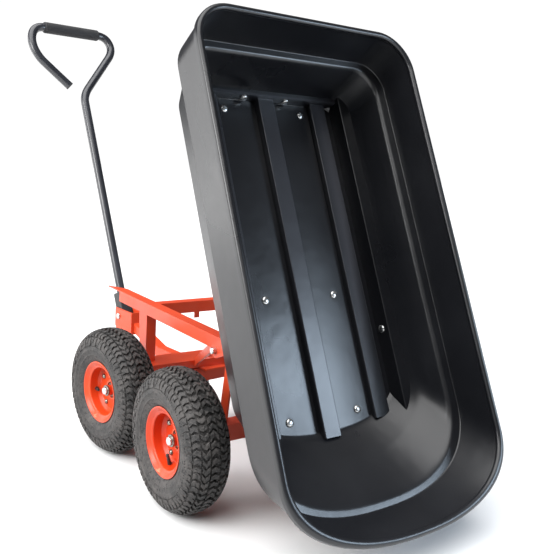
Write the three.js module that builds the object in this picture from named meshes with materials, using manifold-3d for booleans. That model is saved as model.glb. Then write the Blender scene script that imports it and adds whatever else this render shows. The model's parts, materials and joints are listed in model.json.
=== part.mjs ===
// Garden cart with a tipping tub: a steel frame on four pneumatic wheels, a steered front axle
// with a pull handle, and a moulded plastic tub on a hinge rod over the rear axle.
// Millimetres, +Z up, +X towards the pull handle, +Y to the left, z = 0 on the ground.
import * as THREE from "three";
import { mergeVertices } from "three/addons/utils/BufferGeometryUtils.js";
import Module from "manifold-3d";

const wasm = await Module();
wasm.setup();

// ---------------------------------------------------------------- driving dimensions

const GAP = 0.3; // running clearance between neighbouring pieces
const CENTRE_SHIFT = -329; // moves the middle of the resting cart onto x = 0

const WHEELBASE = 320;
const WHEEL_RADIUS = 130; // 260 mm tyre on a 4 inch rim
const HALF_TRACK = 240; // centre plane of each tyre
const TYRE_HALF_WIDTH = 42;
const TYRE_WALL = 7;
const RIM_FLANGE_RADIUS = 64;
const RIM_SEAT_RADIUS = 52;
const RIM_HALF_WIDTH = 29;
const RIM_WEB_RADIUS = 44; // flat middle of the rim, out to its barrel
const SHEET = 2.5; // pressed rim sheet
const SHAFT_RADIUS = 8;
const HUB_RADIUS = 17;
const HUB_OUTER_END = 4; // hub ends, measured outwards from the tyre centre plane
const HUB_INNER_END = -45;
const SPACER_RADIUS = 10.5; // inner bearing ring, reaching out to the end cap
const SPACER_END = 13;
const CAP_RADIUS = 11.5;
const CAP_THICKNESS = 4;
const SHAFT_END = 22;

const STEEL = 3; // thickness of the frame angles and plates
const RAIL_FACE = 153; // outer face of each side rail
const RAIL_TOP = 301;
const RAIL_LEG = 25; // both legs of the rail angle
const RAIL_REAR = -30;
const RAIL_FRONT = 467;
const RAIL_TIP = 530; // the mitred flange reaches past the rail web
const AXLE_BEAM = 32; // square tube
const AXLE_BEAM_HALF_LENGTH = 186;
const KEEPER = { y: 36, halfWidth: 6, drop: 38 }; // catch tab on the front cross member
const FRONT_CROSS_REAR = 310;
const REAR_CROSS_REAR = 20;

const BOLSTER = { rear: 298, front: 366, bottom: 150.3, top: 168, halfLength: RAIL_FACE };
const KINGPIN_RADIUS = 6;
const STEER_ANGLE = 6.3; // the front axle stands turned a little to the left

const HINGE_AHEAD = 362; // handle hinge, measured ahead of the kingpin
const HINGE_HEIGHT = 185;
const HANDLE_LEAN = 24; // forward lean of the resting handle
const HANDLE_LENGTH = 630; // hinge to the foot of the grip loop
const HANDLE_RADIUS = 11;
const HANDLE_WALL = 1.6;
const LOOP_HEIGHT = 182;
const LOOP_HALF_WIDTH = 115;
const GRIP_RADIUS = 15;
const GRIP_HALF_LENGTH = 80;
const GRIP_MIDDLE = 2; // sideways from the handle's centre line
const PIN_RADIUS = 5;
const DRAWBAR_REACH = 299; // drawbar end, measured ahead of the kingpin
const DRAWBAR_HALF_WIDTH = 12;
const DRAWBAR_DEPTH = 24;
const BRACKET_HALF_WIDTH = 20;
const FORK_TOP = 62; // top of the handle fork over its pin
const SOCKET_FLOOR = 24;

const TUB_TILT = 64.7; // the resting tub is tipped
const TUB_LENGTH = 910;
const TUB_HALF_WIDTH = 245;
const TUB_WALL = 3.5;
const LEDGE_DEPTH = 84;
const FLOOR_DEPTH = 190;
const BED_RAIL = { y: 85, halfWidth: 15, front: -76, rear: -712 }; // angles under the tub floor
const PIVOT = { x: -6, z: 288 }; // hinge rod of the tub
const PIVOT_BACK = 547.8; // hinge rod, measured back from the front rim edge
const PIVOT_DEPTH = 234.6; // hinge rod, measured down from the rim
const PIVOT_RADIUS = 6;
const BOLT_RADIUS = 4;
const NUT_RADIUS = 6.5;
const NUT_HEIGHT = 6;

// ---------------------------------------------------------------- materials

const COLOURS = {
  tub: { color: 0x1d1e20, roughness: 0.45, metalness: 0 },
  frame: { color: 0xd93a1c, roughness: 0.4, metalness: 0.1 },
  rim: { color: 0xe24a24, roughness: 0.38, metalness: 0.1 },
  tyre: { color: 0x232324, roughness: 0.85, metalness: 0 },
  zinc: { color: 0xc3c5c7, roughness: 0.35, metalness: 0.9 },
  handle: { color: 0x33363a, roughness: 0.42, metalness: 0.2 },
  grip: { color: 0x2a2b2d, roughness: 0.8, metalness: 0 },
  rubber: { color: 0x151515, roughness: 0.7, metalness: 0 },
};

// ---------------------------------------------------------------- solid modelling helpers

function toManifold(geometry) {
  const plain = geometry.clone();
  plain.deleteAttribute("normal");
  plain.deleteAttribute("uv");
  const merged = mergeVertices(plain, 1e-4);
  const mesh = new wasm.Mesh({
    numProp: 3,
    vertProperties: Float32Array.from(merged.attributes.position.array),
    triVerts: Uint32Array.from(merged.index.array),
  });
  return new wasm.Manifold(mesh);
}

function toGeometry(manifold) {
  const mesh = manifold.getMesh();
  const geometry = new THREE.BufferGeometry();
  geometry.setAttribute("position", new THREE.BufferAttribute(mesh.vertProperties.slice(), 3));
  geometry.setIndex(new THREE.BufferAttribute(mesh.triVerts.slice(), 1));
  const flat = geometry.toNonIndexed();
  flat.computeVertexNormals();
  return flat;
}

function cut(body, ...tools) {
  let result = toManifold(body);
  for (const tool of tools) result = result.subtract(toManifold(tool));
  return toGeometry(result);
}

function join(body, ...others) {
  let result = toManifold(body);
  for (const other of others) result = result.add(toManifold(other));
  return toGeometry(result);
}

function box(x0, x1, y0, y1, z0, z1) {
  const geometry = new THREE.BoxGeometry(x1 - x0, y1 - y0, z1 - z0);
  return geometry.translate((x0 + x1) / 2, (y0 + y1) / 2, (z0 + z1) / 2);
}

// A side outline of [x, z] points, given thickness between two y values.
function plateAlongY(outline, y0, y1) {
  const shape = new THREE.Shape(outline.map(([x, z]) => new THREE.Vector2(x, z)));
  const geometry = new THREE.ExtrudeGeometry(shape, { depth: y1 - y0, bevelEnabled: false });
  return geometry.rotateX(Math.PI / 2).translate(0, y1, 0);
}

// An end outline of [y, z] points, drawn out between two x values.
function barAlongX(outline, x0, x1) {
  const shape = new THREE.Shape(outline.map(([y, z]) => new THREE.Vector2(y, z)));
  const geometry = new THREE.ExtrudeGeometry(shape, { depth: x1 - x0, bevelEnabled: false });
  const axes = new THREE.Matrix4().makeBasis(
    new THREE.Vector3(0, 1, 0),
    new THREE.Vector3(0, 0, 1),
    new THREE.Vector3(1, 0, 0),
  );
  return geometry.applyMatrix4(axes).translate(x0, 0, 0);
}

function rodAlongY(radius, x, z, y0, y1, sides = 16) {
  const geometry = new THREE.CylinderGeometry(radius, radius, y1 - y0, sides);
  return geometry.translate(x, (y0 + y1) / 2, z);
}

function rodAlongZ(radius, x, y, z0, z1, sides = 16) {
  const geometry = new THREE.CylinderGeometry(radius, radius, z1 - z0, sides);
  return geometry.rotateX(Math.PI / 2).translate(x, y, (z0 + z1) / 2);
}

// A turned piece from [radius, y] points; the y axis is its centre line.
// The outline may run either way round: it is put in the order that faces outwards.
function turned(profile, sides) {
  const points = profile.map(([r, y]) => new THREE.Vector2(r, y));
  if (THREE.ShapeUtils.area(points) < 0) points.reverse();
  return new THREE.LatheGeometry(points, sides);
}

function arc(centreX, centreY, radius, from, to, steps) {
  return Array.from({ length: steps + 1 }, (_, i) => {
    const angle = THREE.MathUtils.degToRad(from + ((to - from) * i) / steps);
    return [centreX + radius * Math.cos(angle), centreY + radius * Math.sin(angle)];
  });
}

// ---------------------------------------------------------------- frames of the moving groups

const chassisFrame = new THREE.Matrix4().makeTranslation(CENTRE_SHIFT, 0, 0);

// Tub frame: x along the rim towards the handle, z out of the opening, origin on the front rim.
function tubFrame() {
  const tilt = new THREE.Matrix4().makeRotationY(-THREE.MathUtils.degToRad(TUB_TILT));
  return chassisFrame.clone()
    .multiply(new THREE.Matrix4().makeTranslation(PIVOT.x, 0, PIVOT.z))
    .multiply(tilt)
    .multiply(new THREE.Matrix4().makeTranslation(PIVOT_BACK, 0, PIVOT_DEPTH));
}

// Steering frame: x straight ahead of the turned axle, origin under the kingpin.
function steeringFrame() {
  return chassisFrame.clone()
    .multiply(new THREE.Matrix4().makeTranslation(WHEELBASE, 0, 0))
    .multiply(new THREE.Matrix4().makeRotationZ(THREE.MathUtils.degToRad(STEER_ANGLE)));
}

// Handle frame: z up the handle tube, origin on the handle hinge.
function handleFrame() {
  return steeringFrame()
    .multiply(new THREE.Matrix4().makeTranslation(HINGE_AHEAD, 0, HINGE_HEIGHT))
    .multiply(new THREE.Matrix4().makeRotationY(THREE.MathUtils.degToRad(HANDLE_LEAN)));
}

const cart = new THREE.Group();
cart.name = "garden_cart";

function add(name, geometry, colour, frame) {
  const placed = geometry.clone().applyMatrix4(frame);
  const mesh = new THREE.Mesh(placed, new THREE.MeshStandardMaterial(COLOURS[colour]));
  mesh.name = name;
  cart.add(mesh);
}

// ---------------------------------------------------------------- tub

// One horizontal outline of the tub: rounded front corners and a bowed dump end.
function tubRing({ depth, halfWidth, front, rear, corner, bow, fullness }) {
  const half = [[front, 0], ...arc(front - corner, halfWidth - corner, corner, 0, 90, 6)];
  const steps = 12;
  for (let i = 0; i <= steps; i++) {
    const angle = (Math.PI / 2) * (i / steps);
    const inward = Math.max(Math.cos(angle), 0) ** (2 / fullness);
    const back = Math.sin(angle) ** (2 / fullness);
    half.push([rear + bow - bow * back, i === steps ? 0 : halfWidth * inward]);
  }
  const mirrored = half.slice(1, -1).reverse().map(([x, y]) => [x, -y]);
  return [...half, ...mirrored].map(([x, y]) => new THREE.Vector3(x, y, -depth));
}

// Skins a stack of outlines, lowest first, and closes both ends with a fan.
function skin(rings) {
  const count = rings[0].length;
  const points = rings.flat();
  const middle = (ring) => new THREE.Vector3((ring[0].x + ring[count / 2].x) / 2, 0, ring[0].z);
  points.push(middle(rings[0]), middle(rings.at(-1)));
  const faces = [];
  for (let level = 0; level < rings.length - 1; level++) {
    for (let i = 0; i < count; i++) {
      const a = level * count + i;
      const b = level * count + ((i + 1) % count);
      faces.push(a, b, b + count, a, b + count, a + count);
    }
  }
  const top = (rings.length - 1) * count;
  for (let i = 0; i < count; i++) {
    const next = (i + 1) % count;
    faces.push(points.length - 2, next, i);
    faces.push(points.length - 1, top + i, top + next);
  }
  const geometry = new THREE.BufferGeometry().setFromPoints(points);
  geometry.setIndex(faces);
  return geometry;
}

const TUB_INSIDE = [
  { depth: FLOOR_DEPTH, halfWidth: 184, front: -74, rear: -726, corner: 34, bow: 78, fullness: 2.2 },
  { depth: 186, halfWidth: 187, front: -69, rear: -733, corner: 38, bow: 88, fullness: 2.2 },
  { depth: 140, halfWidth: 202, front: -56, rear: -790, corner: 44, bow: 138, fullness: 2.3 },
  { depth: 87, halfWidth: 217, front: -37, rear: -852, corner: 52, bow: 148, fullness: 2.5 },
  { depth: LEDGE_DEPTH, halfWidth: 236, front: -22, rear: -866, corner: 62, bow: 150, fullness: 2.4 },
  { depth: 0, halfWidth: 239, front: -7, rear: -903, corner: 69, bow: 128, fullness: 2.3 },
];

function grown(ring, amount, drop) {
  return {
    ...ring,
    depth: ring.depth + drop,
    halfWidth: ring.halfWidth + amount,
    front: ring.front + amount,
    rear: ring.rear - amount,
    corner: ring.corner + amount,
  };
}

const RIM_EDGE = {
  depth: 0,
  halfWidth: TUB_HALF_WIDTH,
  front: 0,
  rear: -TUB_LENGTH,
  corner: 75,
  bow: 131,
  fullness: 2.3,
};
const RIM_SKIRT = 14;

// Raised floor ribs: half width about the centre line, top, and where each ends at the dump end.
const RIBS = [
  { y: 0, halfWidth: 19, top: 175, end: -738 },
  { y: 130, halfWidth: 19, top: 177, end: -721 },
  { y: -130, halfWidth: 19, top: 177, end: -721 },
];
const RIB_FRONT = -62;
const GROOVE_SHORTER = 14; // the hollow under a rib stops this far short of the rib's ends
const GROOVE_FOOT = -FLOOR_DEPTH - 12; // the hollows are cut from this far below the rim

// Steps along the side walls, running out into the sloping dump end, and one across the front.
const BENCH = { inner: 171, top: 155, end: -760, hollowEnd: -697 };
const FRONT_STEP = { rear: -74, top: 165, halfWidth: 172 };

const FLOOR_BOLTS = [
  { x: -95, y: 91 },
  { x: -474, y: 81 },
  { x: -698, y: 80 },
];
const BENCH_BOLT = { x: -554, z: -174 };

// End outline of the step along a tub wall, reaching into the wall behind it.
function benchOutline() {
  return [
    [BENCH.inner, -FLOOR_DEPTH - 1],
    [190, -FLOOR_DEPTH - 1],
    [200, -BENCH.top],
    [BENCH.inner, -BENCH.top],
  ];
}

// End outline of the hollow under that step.
function benchGroove() {
  const inner = BENCH.inner + TUB_WALL;
  const top = -BENCH.top - TUB_WALL;
  return [[inner, GROOVE_FOOT], [180.5, GROOVE_FOOT], [192.5, top], [inner, top]];
}

function mirrorY(outline) {
  return outline.map(([y, z]) => [-y, z]).reverse();
}

function floorBoltSpots() {
  return FLOOR_BOLTS.flatMap(({ x, y }) => [[x, y], [x, -y]]);
}

// Raised ribs, side steps and front step, and the hollows moulded under them.
function tubSteps() {
  const raised = [];
  const hollows = [];
  for (const { y, halfWidth, top, end } of RIBS) {
    const inner = halfWidth - TUB_WALL;
    const ends = [end + GROOVE_SHORTER, RIB_FRONT - GROOVE_SHORTER];
    raised.push(box(end, RIB_FRONT, y - halfWidth, y + halfWidth, -FLOOR_DEPTH - 1, -top));
    hollows.push(box(...ends, y - inner, y + inner, GROOVE_FOOT, -top - TUB_WALL));
  }
  for (const turn of [(outline) => outline, mirrorY]) {
    const front = RIB_FRONT - GROOVE_SHORTER;
    raised.push(barAlongX(turn(benchOutline()), BENCH.end, RIB_FRONT));
    hollows.push(barAlongX(turn(benchGroove()), BENCH.hollowEnd, front));
  }
  const { rear, top, halfWidth } = FRONT_STEP;
  raised.push(box(rear, RIB_FRONT, -halfWidth, halfWidth, -FLOOR_DEPTH - 1, -top));
  return { raised, hollows };
}

function makeTub() {
  const wall = TUB_INSIDE.map((ring) => grown(ring, TUB_WALL, ring.depth ? TUB_WALL : RIM_SKIRT));
  const skirt = [
    grown(RIM_EDGE, 0, RIM_SKIRT),
    grown(RIM_EDGE, 0, 3),
    grown(RIM_EDGE, -2, 0),
  ];
  const outside = skin([...wall, ...skirt].map(tubRing));
  const space = skin([...TUB_INSIDE, grown(TUB_INSIDE.at(-1), 0.5, -5)].map(tubRing));
  const { raised, hollows } = tubSteps();
  const bored = BOLT_RADIUS + GAP;
  const floorHoles = floorBoltSpots().map(([x, y]) => (
    rodAlongZ(bored, x, y, -FLOOR_DEPTH - TUB_WALL - 5, -FLOOR_DEPTH + 5, 12)
  ));
  const benchHoles = [-BENCH.inner - TUB_WALL - 2, BENCH.inner - 2].map((y) => (
    rodAlongY(bored, BENCH_BOLT.x, BENCH_BOLT.z, y, y + TUB_WALL + 4, 12)
  ));
  return cut(outside, cut(space, ...raised), ...hollows, ...floorHoles, ...benchHoles);
}

// Carriage bolt with its nut: the domed head sits on y = 0 and the shank runs to -y.
function carriageBolt(gripLength, tail) {
  const nutEnd = -gripLength - NUT_HEIGHT;
  return turned([
    [0, 3.5],
    [5, 2.6],
    [8, 0],
    [BOLT_RADIUS, 0],
    [BOLT_RADIUS, -gripLength],
    [NUT_RADIUS, -gripLength],
    [NUT_RADIUS, nutEnd],
    [BOLT_RADIUS, nutEnd],
    [BOLT_RADIUS, nutEnd - tail],
    [0, nutEnd - tail],
  ], 10);
}

// Angle bolted under the tub floor; its upright leg carries an ear round the hinge rod.
function makeBedRail(side) {
  const { y, halfWidth, front, rear } = BED_RAIL;
  const y0 = side * y - halfWidth;
  const y1 = side * y + halfWidth;
  const top = -FLOOR_DEPTH - TUB_WALL - GAP;
  const bottom = top - 27.2;
  const web = side > 0 ? [y0, y0 + STEEL] : [y1 - STEEL, y1];
  const ear = [
    [-PIVOT_BACK - 16, bottom + 1],
    ...arc(-PIVOT_BACK, -PIVOT_DEPTH, 12, 180, 360, 8),
    [-PIVOT_BACK + 16, bottom + 1],
  ];
  const rail = join(
    box(rear, front, y0, y1, top - STEEL, top),
    box(rear, front, ...web, bottom, top),
    plateAlongY(ear, ...web),
  );
  const rodHole = rodAlongY(PIVOT_RADIUS + GAP, -PIVOT_BACK, -PIVOT_DEPTH, y0 - 5, y1 + 5);
  const boltHoles = FLOOR_BOLTS.map((bolt) => (
    rodAlongZ(BOLT_RADIUS + GAP, bolt.x, side * bolt.y, top - 20, top + 5, 12)
  ));
  return cut(rail, rodHole, ...boltHoles);
}

// Hinge plate: stands inside the hollow bench and hangs down to the hinge rod.
function makeHingePlate(side) {
  const inner = BENCH.inner + TUB_WALL + GAP;
  const top = -BENCH.top - 7;
  const outline = [
    [-PIVOT_BACK - 14, top],
    [-PIVOT_BACK - 14, -PIVOT_DEPTH],
    ...arc(-PIVOT_BACK, -PIVOT_DEPTH, 14, 180, 360, 10).slice(1, -1),
    [-PIVOT_BACK + 14, -PIVOT_DEPTH],
    [-PIVOT_BACK + 14, top],
  ];
  const y0 = side > 0 ? inner : -inner - STEEL;
  const rod = rodAlongY(PIVOT_RADIUS + GAP, -PIVOT_BACK, -PIVOT_DEPTH, y0 - 5, y0 + 8);
  const bolt = rodAlongY(BOLT_RADIUS + GAP, BENCH_BOLT.x, BENCH_BOLT.z, y0 - 5, y0 + 8, 12);
  return cut(plateAlongY(outline, y0, y0 + STEEL), rod, bolt);
}

function addTub() {
  const frame = tubFrame();
  add("tub", makeTub(), "tub", frame);
  for (const [side, word] of [[1, "left"], [-1, "right"]]) {
    add(`tub_bed_rail_${word}`, makeBedRail(side), "frame", frame);
    add(`tub_hinge_plate_${word}`, makeHingePlate(side), "frame", frame);
    const level = TUB_WALL + GAP + STEEL + 0.2;
    const bench = carriageBolt(level, 1).rotateZ(side > 0 ? Math.PI : 0);
    const headY = side * (BENCH.inner - 0.1);
    add(`bench_bolt_${word}`, bench.translate(BENCH_BOLT.x, headY, BENCH_BOLT.z), "zinc", frame);
  }
  floorBoltSpots().forEach(([x, y], index) => {
    const bolt = carriageBolt(TUB_WALL + STEEL + 2 * GAP + 0.1, 4).rotateX(Math.PI / 2);
    const placed = bolt.translate(x, y, -FLOOR_DEPTH + 0.1);
    add(`tub_bolt_${index + 1}`, placed, "zinc", frame);
  });
}

// ---------------------------------------------------------------- main frame

function makeSideRail(side) {
  const outer = side * RAIL_FACE;
  const inner = side * (RAIL_FACE - STEEL);
  const flangeEdge = side * (RAIL_FACE - RAIL_LEG);
  const low = Math.min(outer, inner);
  const high = Math.max(outer, inner);
  const web = box(RAIL_REAR, RAIL_FRONT, low, high, RAIL_TOP - RAIL_LEG, RAIL_TOP);
  const outline = [
    [RAIL_REAR, outer],
    [RAIL_TIP, outer],
    [RAIL_TIP - 2 * RAIL_LEG, flangeEdge],
    [RAIL_REAR, flangeEdge],
  ];
  const shape = new THREE.Shape(outline.map(([x, y]) => new THREE.Vector2(x, y)));
  const flange = new THREE.ExtrudeGeometry(shape, { depth: STEEL, bevelEnabled: false });
  const hole = rodAlongY(PIVOT_RADIUS + GAP, PIVOT.x, PIVOT.z, low - 5, high + 5);
  const angle = join(web, flange.translate(0, 0, RAIL_TOP - STEEL));
  return cut(angle, hole);
}

// Angle across the frame between the rail flanges; its upright leg faces the rear.
function makeCrossMember(rear) {
  const half = RAIL_FACE - RAIL_LEG;
  const outline = [
    [rear, RAIL_TOP - RAIL_LEG],
    [rear + STEEL, RAIL_TOP - RAIL_LEG],
    [rear + STEEL, RAIL_TOP - STEEL],
    [rear + RAIL_LEG, RAIL_TOP - STEEL],
    [rear + RAIL_LEG, RAIL_TOP],
    [rear, RAIL_TOP],
  ];
  return plateAlongY(outline, -half, half);
}

function makeFrontCrossMember() {
  const rear = FRONT_CROSS_REAR;
  const { y, halfWidth, drop } = KEEPER;
  const top = RAIL_TOP - STEEL - 2;
  const keeper = box(rear, rear + STEEL, y - halfWidth, y + halfWidth, RAIL_TOP - drop, top);
  return join(makeCrossMember(rear), keeper);
}

// Upright angle from a side rail down to the bolster.
function makeFrontLeg(side) {
  const face = RAIL_FACE - STEEL;
  const front = BOLSTER.front;
  const rear = front - 38;
  const top = RAIL_TOP - 2 * STEEL;
  const outline = [
    [rear, BOLSTER.top],
    [front - 8, BOLSTER.top],
    [front, RAIL_TOP - RAIL_LEG],
    [front, top],
    [rear, top],
  ];
  const acrossOuter = side > 0 ? [face - STEEL, face] : [-face, STEEL - face];
  const width = RAIL_LEG - 2;
  const acrossInner = side > 0 ? [face - width, face] : [-face, width - face];
  const rearLeg = box(rear, rear + STEEL, ...acrossInner, BOLSTER.top, top);
  return join(plateAlongY(outline, ...acrossOuter), rearLeg);
}

// Flat leg from a side rail down onto the rear axle beam.
function makeRearLeg(side) {
  const face = RAIL_FACE - STEEL;
  const thickness = STEEL + 1;
  const foot = WHEEL_RADIUS + AXLE_BEAM / 2;
  const outline = [
    [-9, foot],
    [15, foot],
    [-2, RAIL_TOP - RAIL_LEG],
    [8, RAIL_TOP - 2 * STEEL],
    [-22, RAIL_TOP - 2 * STEEL],
    [-24, RAIL_TOP - RAIL_LEG],
  ];
  const y0 = side > 0 ? face - thickness : -face;
  const y1 = y0 + thickness;
  const hole = rodAlongY(PIVOT_RADIUS + GAP, PIVOT.x, PIVOT.z, y0 - 5, y1 + 5);
  return cut(plateAlongY(outline, y0, y1), hole);
}

// Inverted channel over the front axle, carrying the kingpin.
function makeBolster() {
  const { rear, front, bottom, top, halfLength } = BOLSTER;
  const outline = [
    [rear, bottom],
    [rear + STEEL, bottom],
    [rear + STEEL, top - STEEL],
    [front - STEEL, top - STEEL],
    [front - STEEL, bottom],
    [front, bottom],
    [front, top],
    [rear, top],
  ];
  const channel = plateAlongY(outline, -halfLength, halfLength);
  return cut(channel, rodAlongZ(KINGPIN_RADIUS + GAP, WHEELBASE, 0, bottom, top + 5));
}

// Slanting flat brace from a side rail to the back of the bolster.
function makeBrace(side) {
  const start = new THREE.Vector3(52, side * (RAIL_FACE - 8), RAIL_TOP - 21);
  const end = new THREE.Vector3(BOLSTER.rear - 2, side * 42, BOLSTER.top - STEEL);
  const along = end.clone().sub(start);
  const length = along.length();
  const forward = along.normalize();
  const across = new THREE.Vector3().crossVectors(new THREE.Vector3(0, 0, 1), forward).normalize();
  const up = new THREE.Vector3().crossVectors(forward, across);
  const pose = new THREE.Matrix4().makeBasis(forward, across, up).setPosition(start);
  const [halfThickness, halfDepth] = [2, 9];
  return box(0, length, -halfThickness, halfThickness, -halfDepth, halfDepth).applyMatrix4(pose);
}

// Square tube with the ends closed around the wheel shaft; centred on the axle line.
function makeAxleBeam() {
  const half = AXLE_BEAM / 2;
  const reach = AXLE_BEAM_HALF_LENGTH;
  const inner = half - STEEL;
  const outer = box(-half, half, -reach, reach, WHEEL_RADIUS - half, WHEEL_RADIUS + half);
  const ends = [STEEL + 1 - reach, reach - STEEL - 1];
  const hollow = box(-inner, inner, ...ends, WHEEL_RADIUS - inner, WHEEL_RADIUS + inner);
  const bore = rodAlongY(SHAFT_RADIUS + GAP, 0, WHEEL_RADIUS, -reach - 5, reach + 5);
  return cut(outer, hollow, bore);
}

function makeShaft() {
  const reach = HALF_TRACK + SHAFT_END;
  return rodAlongY(SHAFT_RADIUS, 0, WHEEL_RADIUS, -reach, reach);
}

function addFrame() {
  for (const [side, word] of [[1, "left"], [-1, "right"]]) {
    add(`side_rail_${word}`, makeSideRail(side), "frame", chassisFrame);
    add(`front_leg_${word}`, makeFrontLeg(side), "frame", chassisFrame);
    add(`rear_leg_${word}`, makeRearLeg(side), "frame", chassisFrame);
    add(`brace_${word}`, makeBrace(side), "frame", chassisFrame);
  }
  add("front_cross_member", makeFrontCrossMember(), "frame", chassisFrame);
  add("rear_cross_member", makeCrossMember(REAR_CROSS_REAR), "frame", chassisFrame);
  add("bolster", makeBolster(), "frame", chassisFrame);
  add("rear_axle_beam", makeAxleBeam(), "frame", chassisFrame);
  add("rear_shaft", makeShaft(), "zinc", chassisFrame);
  const rod = rodAlongY(PIVOT_RADIUS, PIVOT.x, PIVOT.z, -186, 186);
  add("tub_hinge_rod", rod, "zinc", chassisFrame);
  add("kingpin", makeKingpin(), "zinc", chassisFrame);
}

// Kingpin bolt through the bolster, the turntable plate and the front axle beam.
function makeKingpin() {
  const top = BOLSTER.top + 0.1;
  const bottom = WHEEL_RADIUS - AXLE_BEAM / 2 - GAP;
  const head = KINGPIN_RADIUS + 4;
  const headHeight = 8;
  const profile = [
    [0, top + headHeight],
    [head, top + headHeight],
    [head, top],
    [KINGPIN_RADIUS, top],
    [KINGPIN_RADIUS, bottom],
    [head, bottom],
    [head, bottom - headHeight],
    [0, bottom - headHeight],
  ];
  return turned(profile, 12).rotateX(Math.PI / 2).translate(WHEELBASE, 0, 0);
}

// ---------------------------------------------------------------- steering and handle

// Front beam with the turntable plate welded on top and a bore for the kingpin.
function makeFrontBeam() {
  const top = WHEEL_RADIUS + AXLE_BEAM / 2;
  const plate = box(-40, 40, -30, 30, top, BOLSTER.bottom - GAP);
  return cut(join(makeAxleBeam(), plate), makeKingpinBore());
}

// The kingpin passes through the middle of the front shaft as well.
function makeFrontShaft() {
  return cut(makeShaft(), makeKingpinBore());
}

function makeKingpinBore() {
  return rodAlongZ(KINGPIN_RADIUS + GAP, 0, 0, WHEEL_RADIUS - 25, WHEEL_RADIUS + 25);
}

// Square tube from the axle beam to the handle bracket: level at first, then rising.
function makeDrawbar() {
  const side = (start, end, inset) => {
    const low = 119 + inset;
    const high = 119 + DRAWBAR_DEPTH - inset;
    const rise = 35;
    return [
      [start, low],
      [190, low],
      [end, low + rise],
      [end, high + rise],
      [184, high],
      [start, high],
    ];
  };
  const start = AXLE_BEAM / 2 + GAP;
  const end = DRAWBAR_REACH - GAP;
  const half = DRAWBAR_HALF_WIDTH;
  const outer = plateAlongY(side(start, end, 0), -half, half);
  return cut(outer, plateAlongY(side(start - 1, end + 1, STEEL), STEEL - half, half - STEEL));
}

// Upright channel that takes the handle fork; open to the front and the top.
function makeHandleBracket() {
  const bottom = HINGE_HEIGHT - 37;
  const top = HINGE_HEIGHT + 20;
  const front = HINGE_AHEAD + 18;
  const half = BRACKET_HALF_WIDTH;
  const cheek = STEEL + 1;
  const side = [
    [DRAWBAR_REACH, bottom],
    [front - 8, bottom],
    [front, bottom + 10],
    [front, top],
    [DRAWBAR_REACH, top],
  ];
  const block = plateAlongY(side, -half, half);
  const slot = box(DRAWBAR_REACH + cheek, front + 5, cheek - half, half - cheek, bottom - 5, top + 5);
  const pin = rodAlongY(PIN_RADIUS + GAP, HINGE_AHEAD, HINGE_HEIGHT, -half - 5, half + 5, 16);
  return cut(block, slot, pin);
}

function addSteering() {
  const frame = steeringFrame();
  add("front_axle_beam", makeFrontBeam(), "frame", frame);
  add("front_shaft", makeFrontShaft(), "zinc", frame);
  add("drawbar", makeDrawbar(), "frame", frame);
  add("handle_bracket", makeHandleBracket(), "frame", frame);
  add("handle_pin", makeHandlePin(), "zinc", frame);
}

function makeHandlePin() {
  const reach = BRACKET_HALF_WIDTH + GAP;
  const head = PIN_RADIUS + 3;
  const headHeight = 3.7;
  const profile = [
    [0, reach + headHeight + 2],
    [head, reach + headHeight],
    [head, reach],
    [PIN_RADIUS, reach],
    [PIN_RADIUS, -reach],
    [head, -reach],
    [head, -reach - headHeight],
    [0, -reach - headHeight],
  ];
  return turned(profile, 12).translate(HINGE_AHEAD, 0, HINGE_HEIGHT);
}

// Moulded fork: a round boss on the hinge pin narrowing to the socket of the tube.
function makeFork() {
  const half = BRACKET_HALF_WIDTH - STEEL - 1 - GAP;
  const outline = [
    ...arc(0, 0, 17, 180, 360, 10),
    [15, FORK_TOP],
    [-15, FORK_TOP],
  ];
  const body = plateAlongY(outline, -half, half);
  const pin = rodAlongY(PIN_RADIUS + GAP, 0, 0, -half - 5, half + 5, 16);
  const socket = rodAlongZ(HANDLE_RADIUS + GAP, 0, 0, SOCKET_FLOOR, FORK_TOP + 5);
  return cut(body, pin, socket);
}

// Centre line of the handle tube: straight up, out to one side, round the loop, open at the end.
// Corners of the loop are given from its foot (the neck), its top and its half width.
function handlePath() {
  const neck = HANDLE_LENGTH;
  const top = neck + LOOP_HEIGHT;
  const wide = LOOP_HALF_WIDTH;
  const point = (y, z) => new THREE.Vector3(0, y, z);
  const path = new THREE.CurvePath();
  const line = (a, b) => path.add(new THREE.LineCurve3(a, b));
  const bend = (a, corner, b) => path.add(new THREE.QuadraticBezierCurve3(a, corner, b));
  line(point(0, SOCKET_FLOOR + GAP), point(0, neck - 30));
  bend(point(0, neck - 30), point(0, neck - 8), point(-18, neck + 14));
  line(point(-18, neck + 14), point(-98, neck + 112));
  bend(point(-98, neck + 112), point(-wide, neck + 133), point(1 - wide, neck + 150));
  bend(point(1 - wide, neck + 150), point(4 - wide, top), point(38 - wide, top));
  line(point(38 - wide, top), point(wide - 34, top));
  bend(point(wide - 34, top), point(wide + 4, top), point(wide + 8, neck + 138));
  bend(point(wide + 8, neck + 138), point(wide + 9, neck + 108), point(wide - 12, neck + 82));
  line(point(wide - 12, neck + 82), point(38, neck + 16));
  return path;
}

function makeHandleTube() {
  const circle = (radius) => arc(0, 0, radius, 0, 324, 9).map(([x, y]) => new THREE.Vector2(x, y));
  const shape = new THREE.Shape(circle(HANDLE_RADIUS));
  shape.holes.push(new THREE.Path(circle(HANDLE_RADIUS - HANDLE_WALL).reverse()));
  const spine = new THREE.CatmullRomCurve3(spineStops(handlePath()));
  return new THREE.ExtrudeGeometry(shape, { steps: 48, bevelEnabled: false, extrudePath: spine });
}

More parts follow.
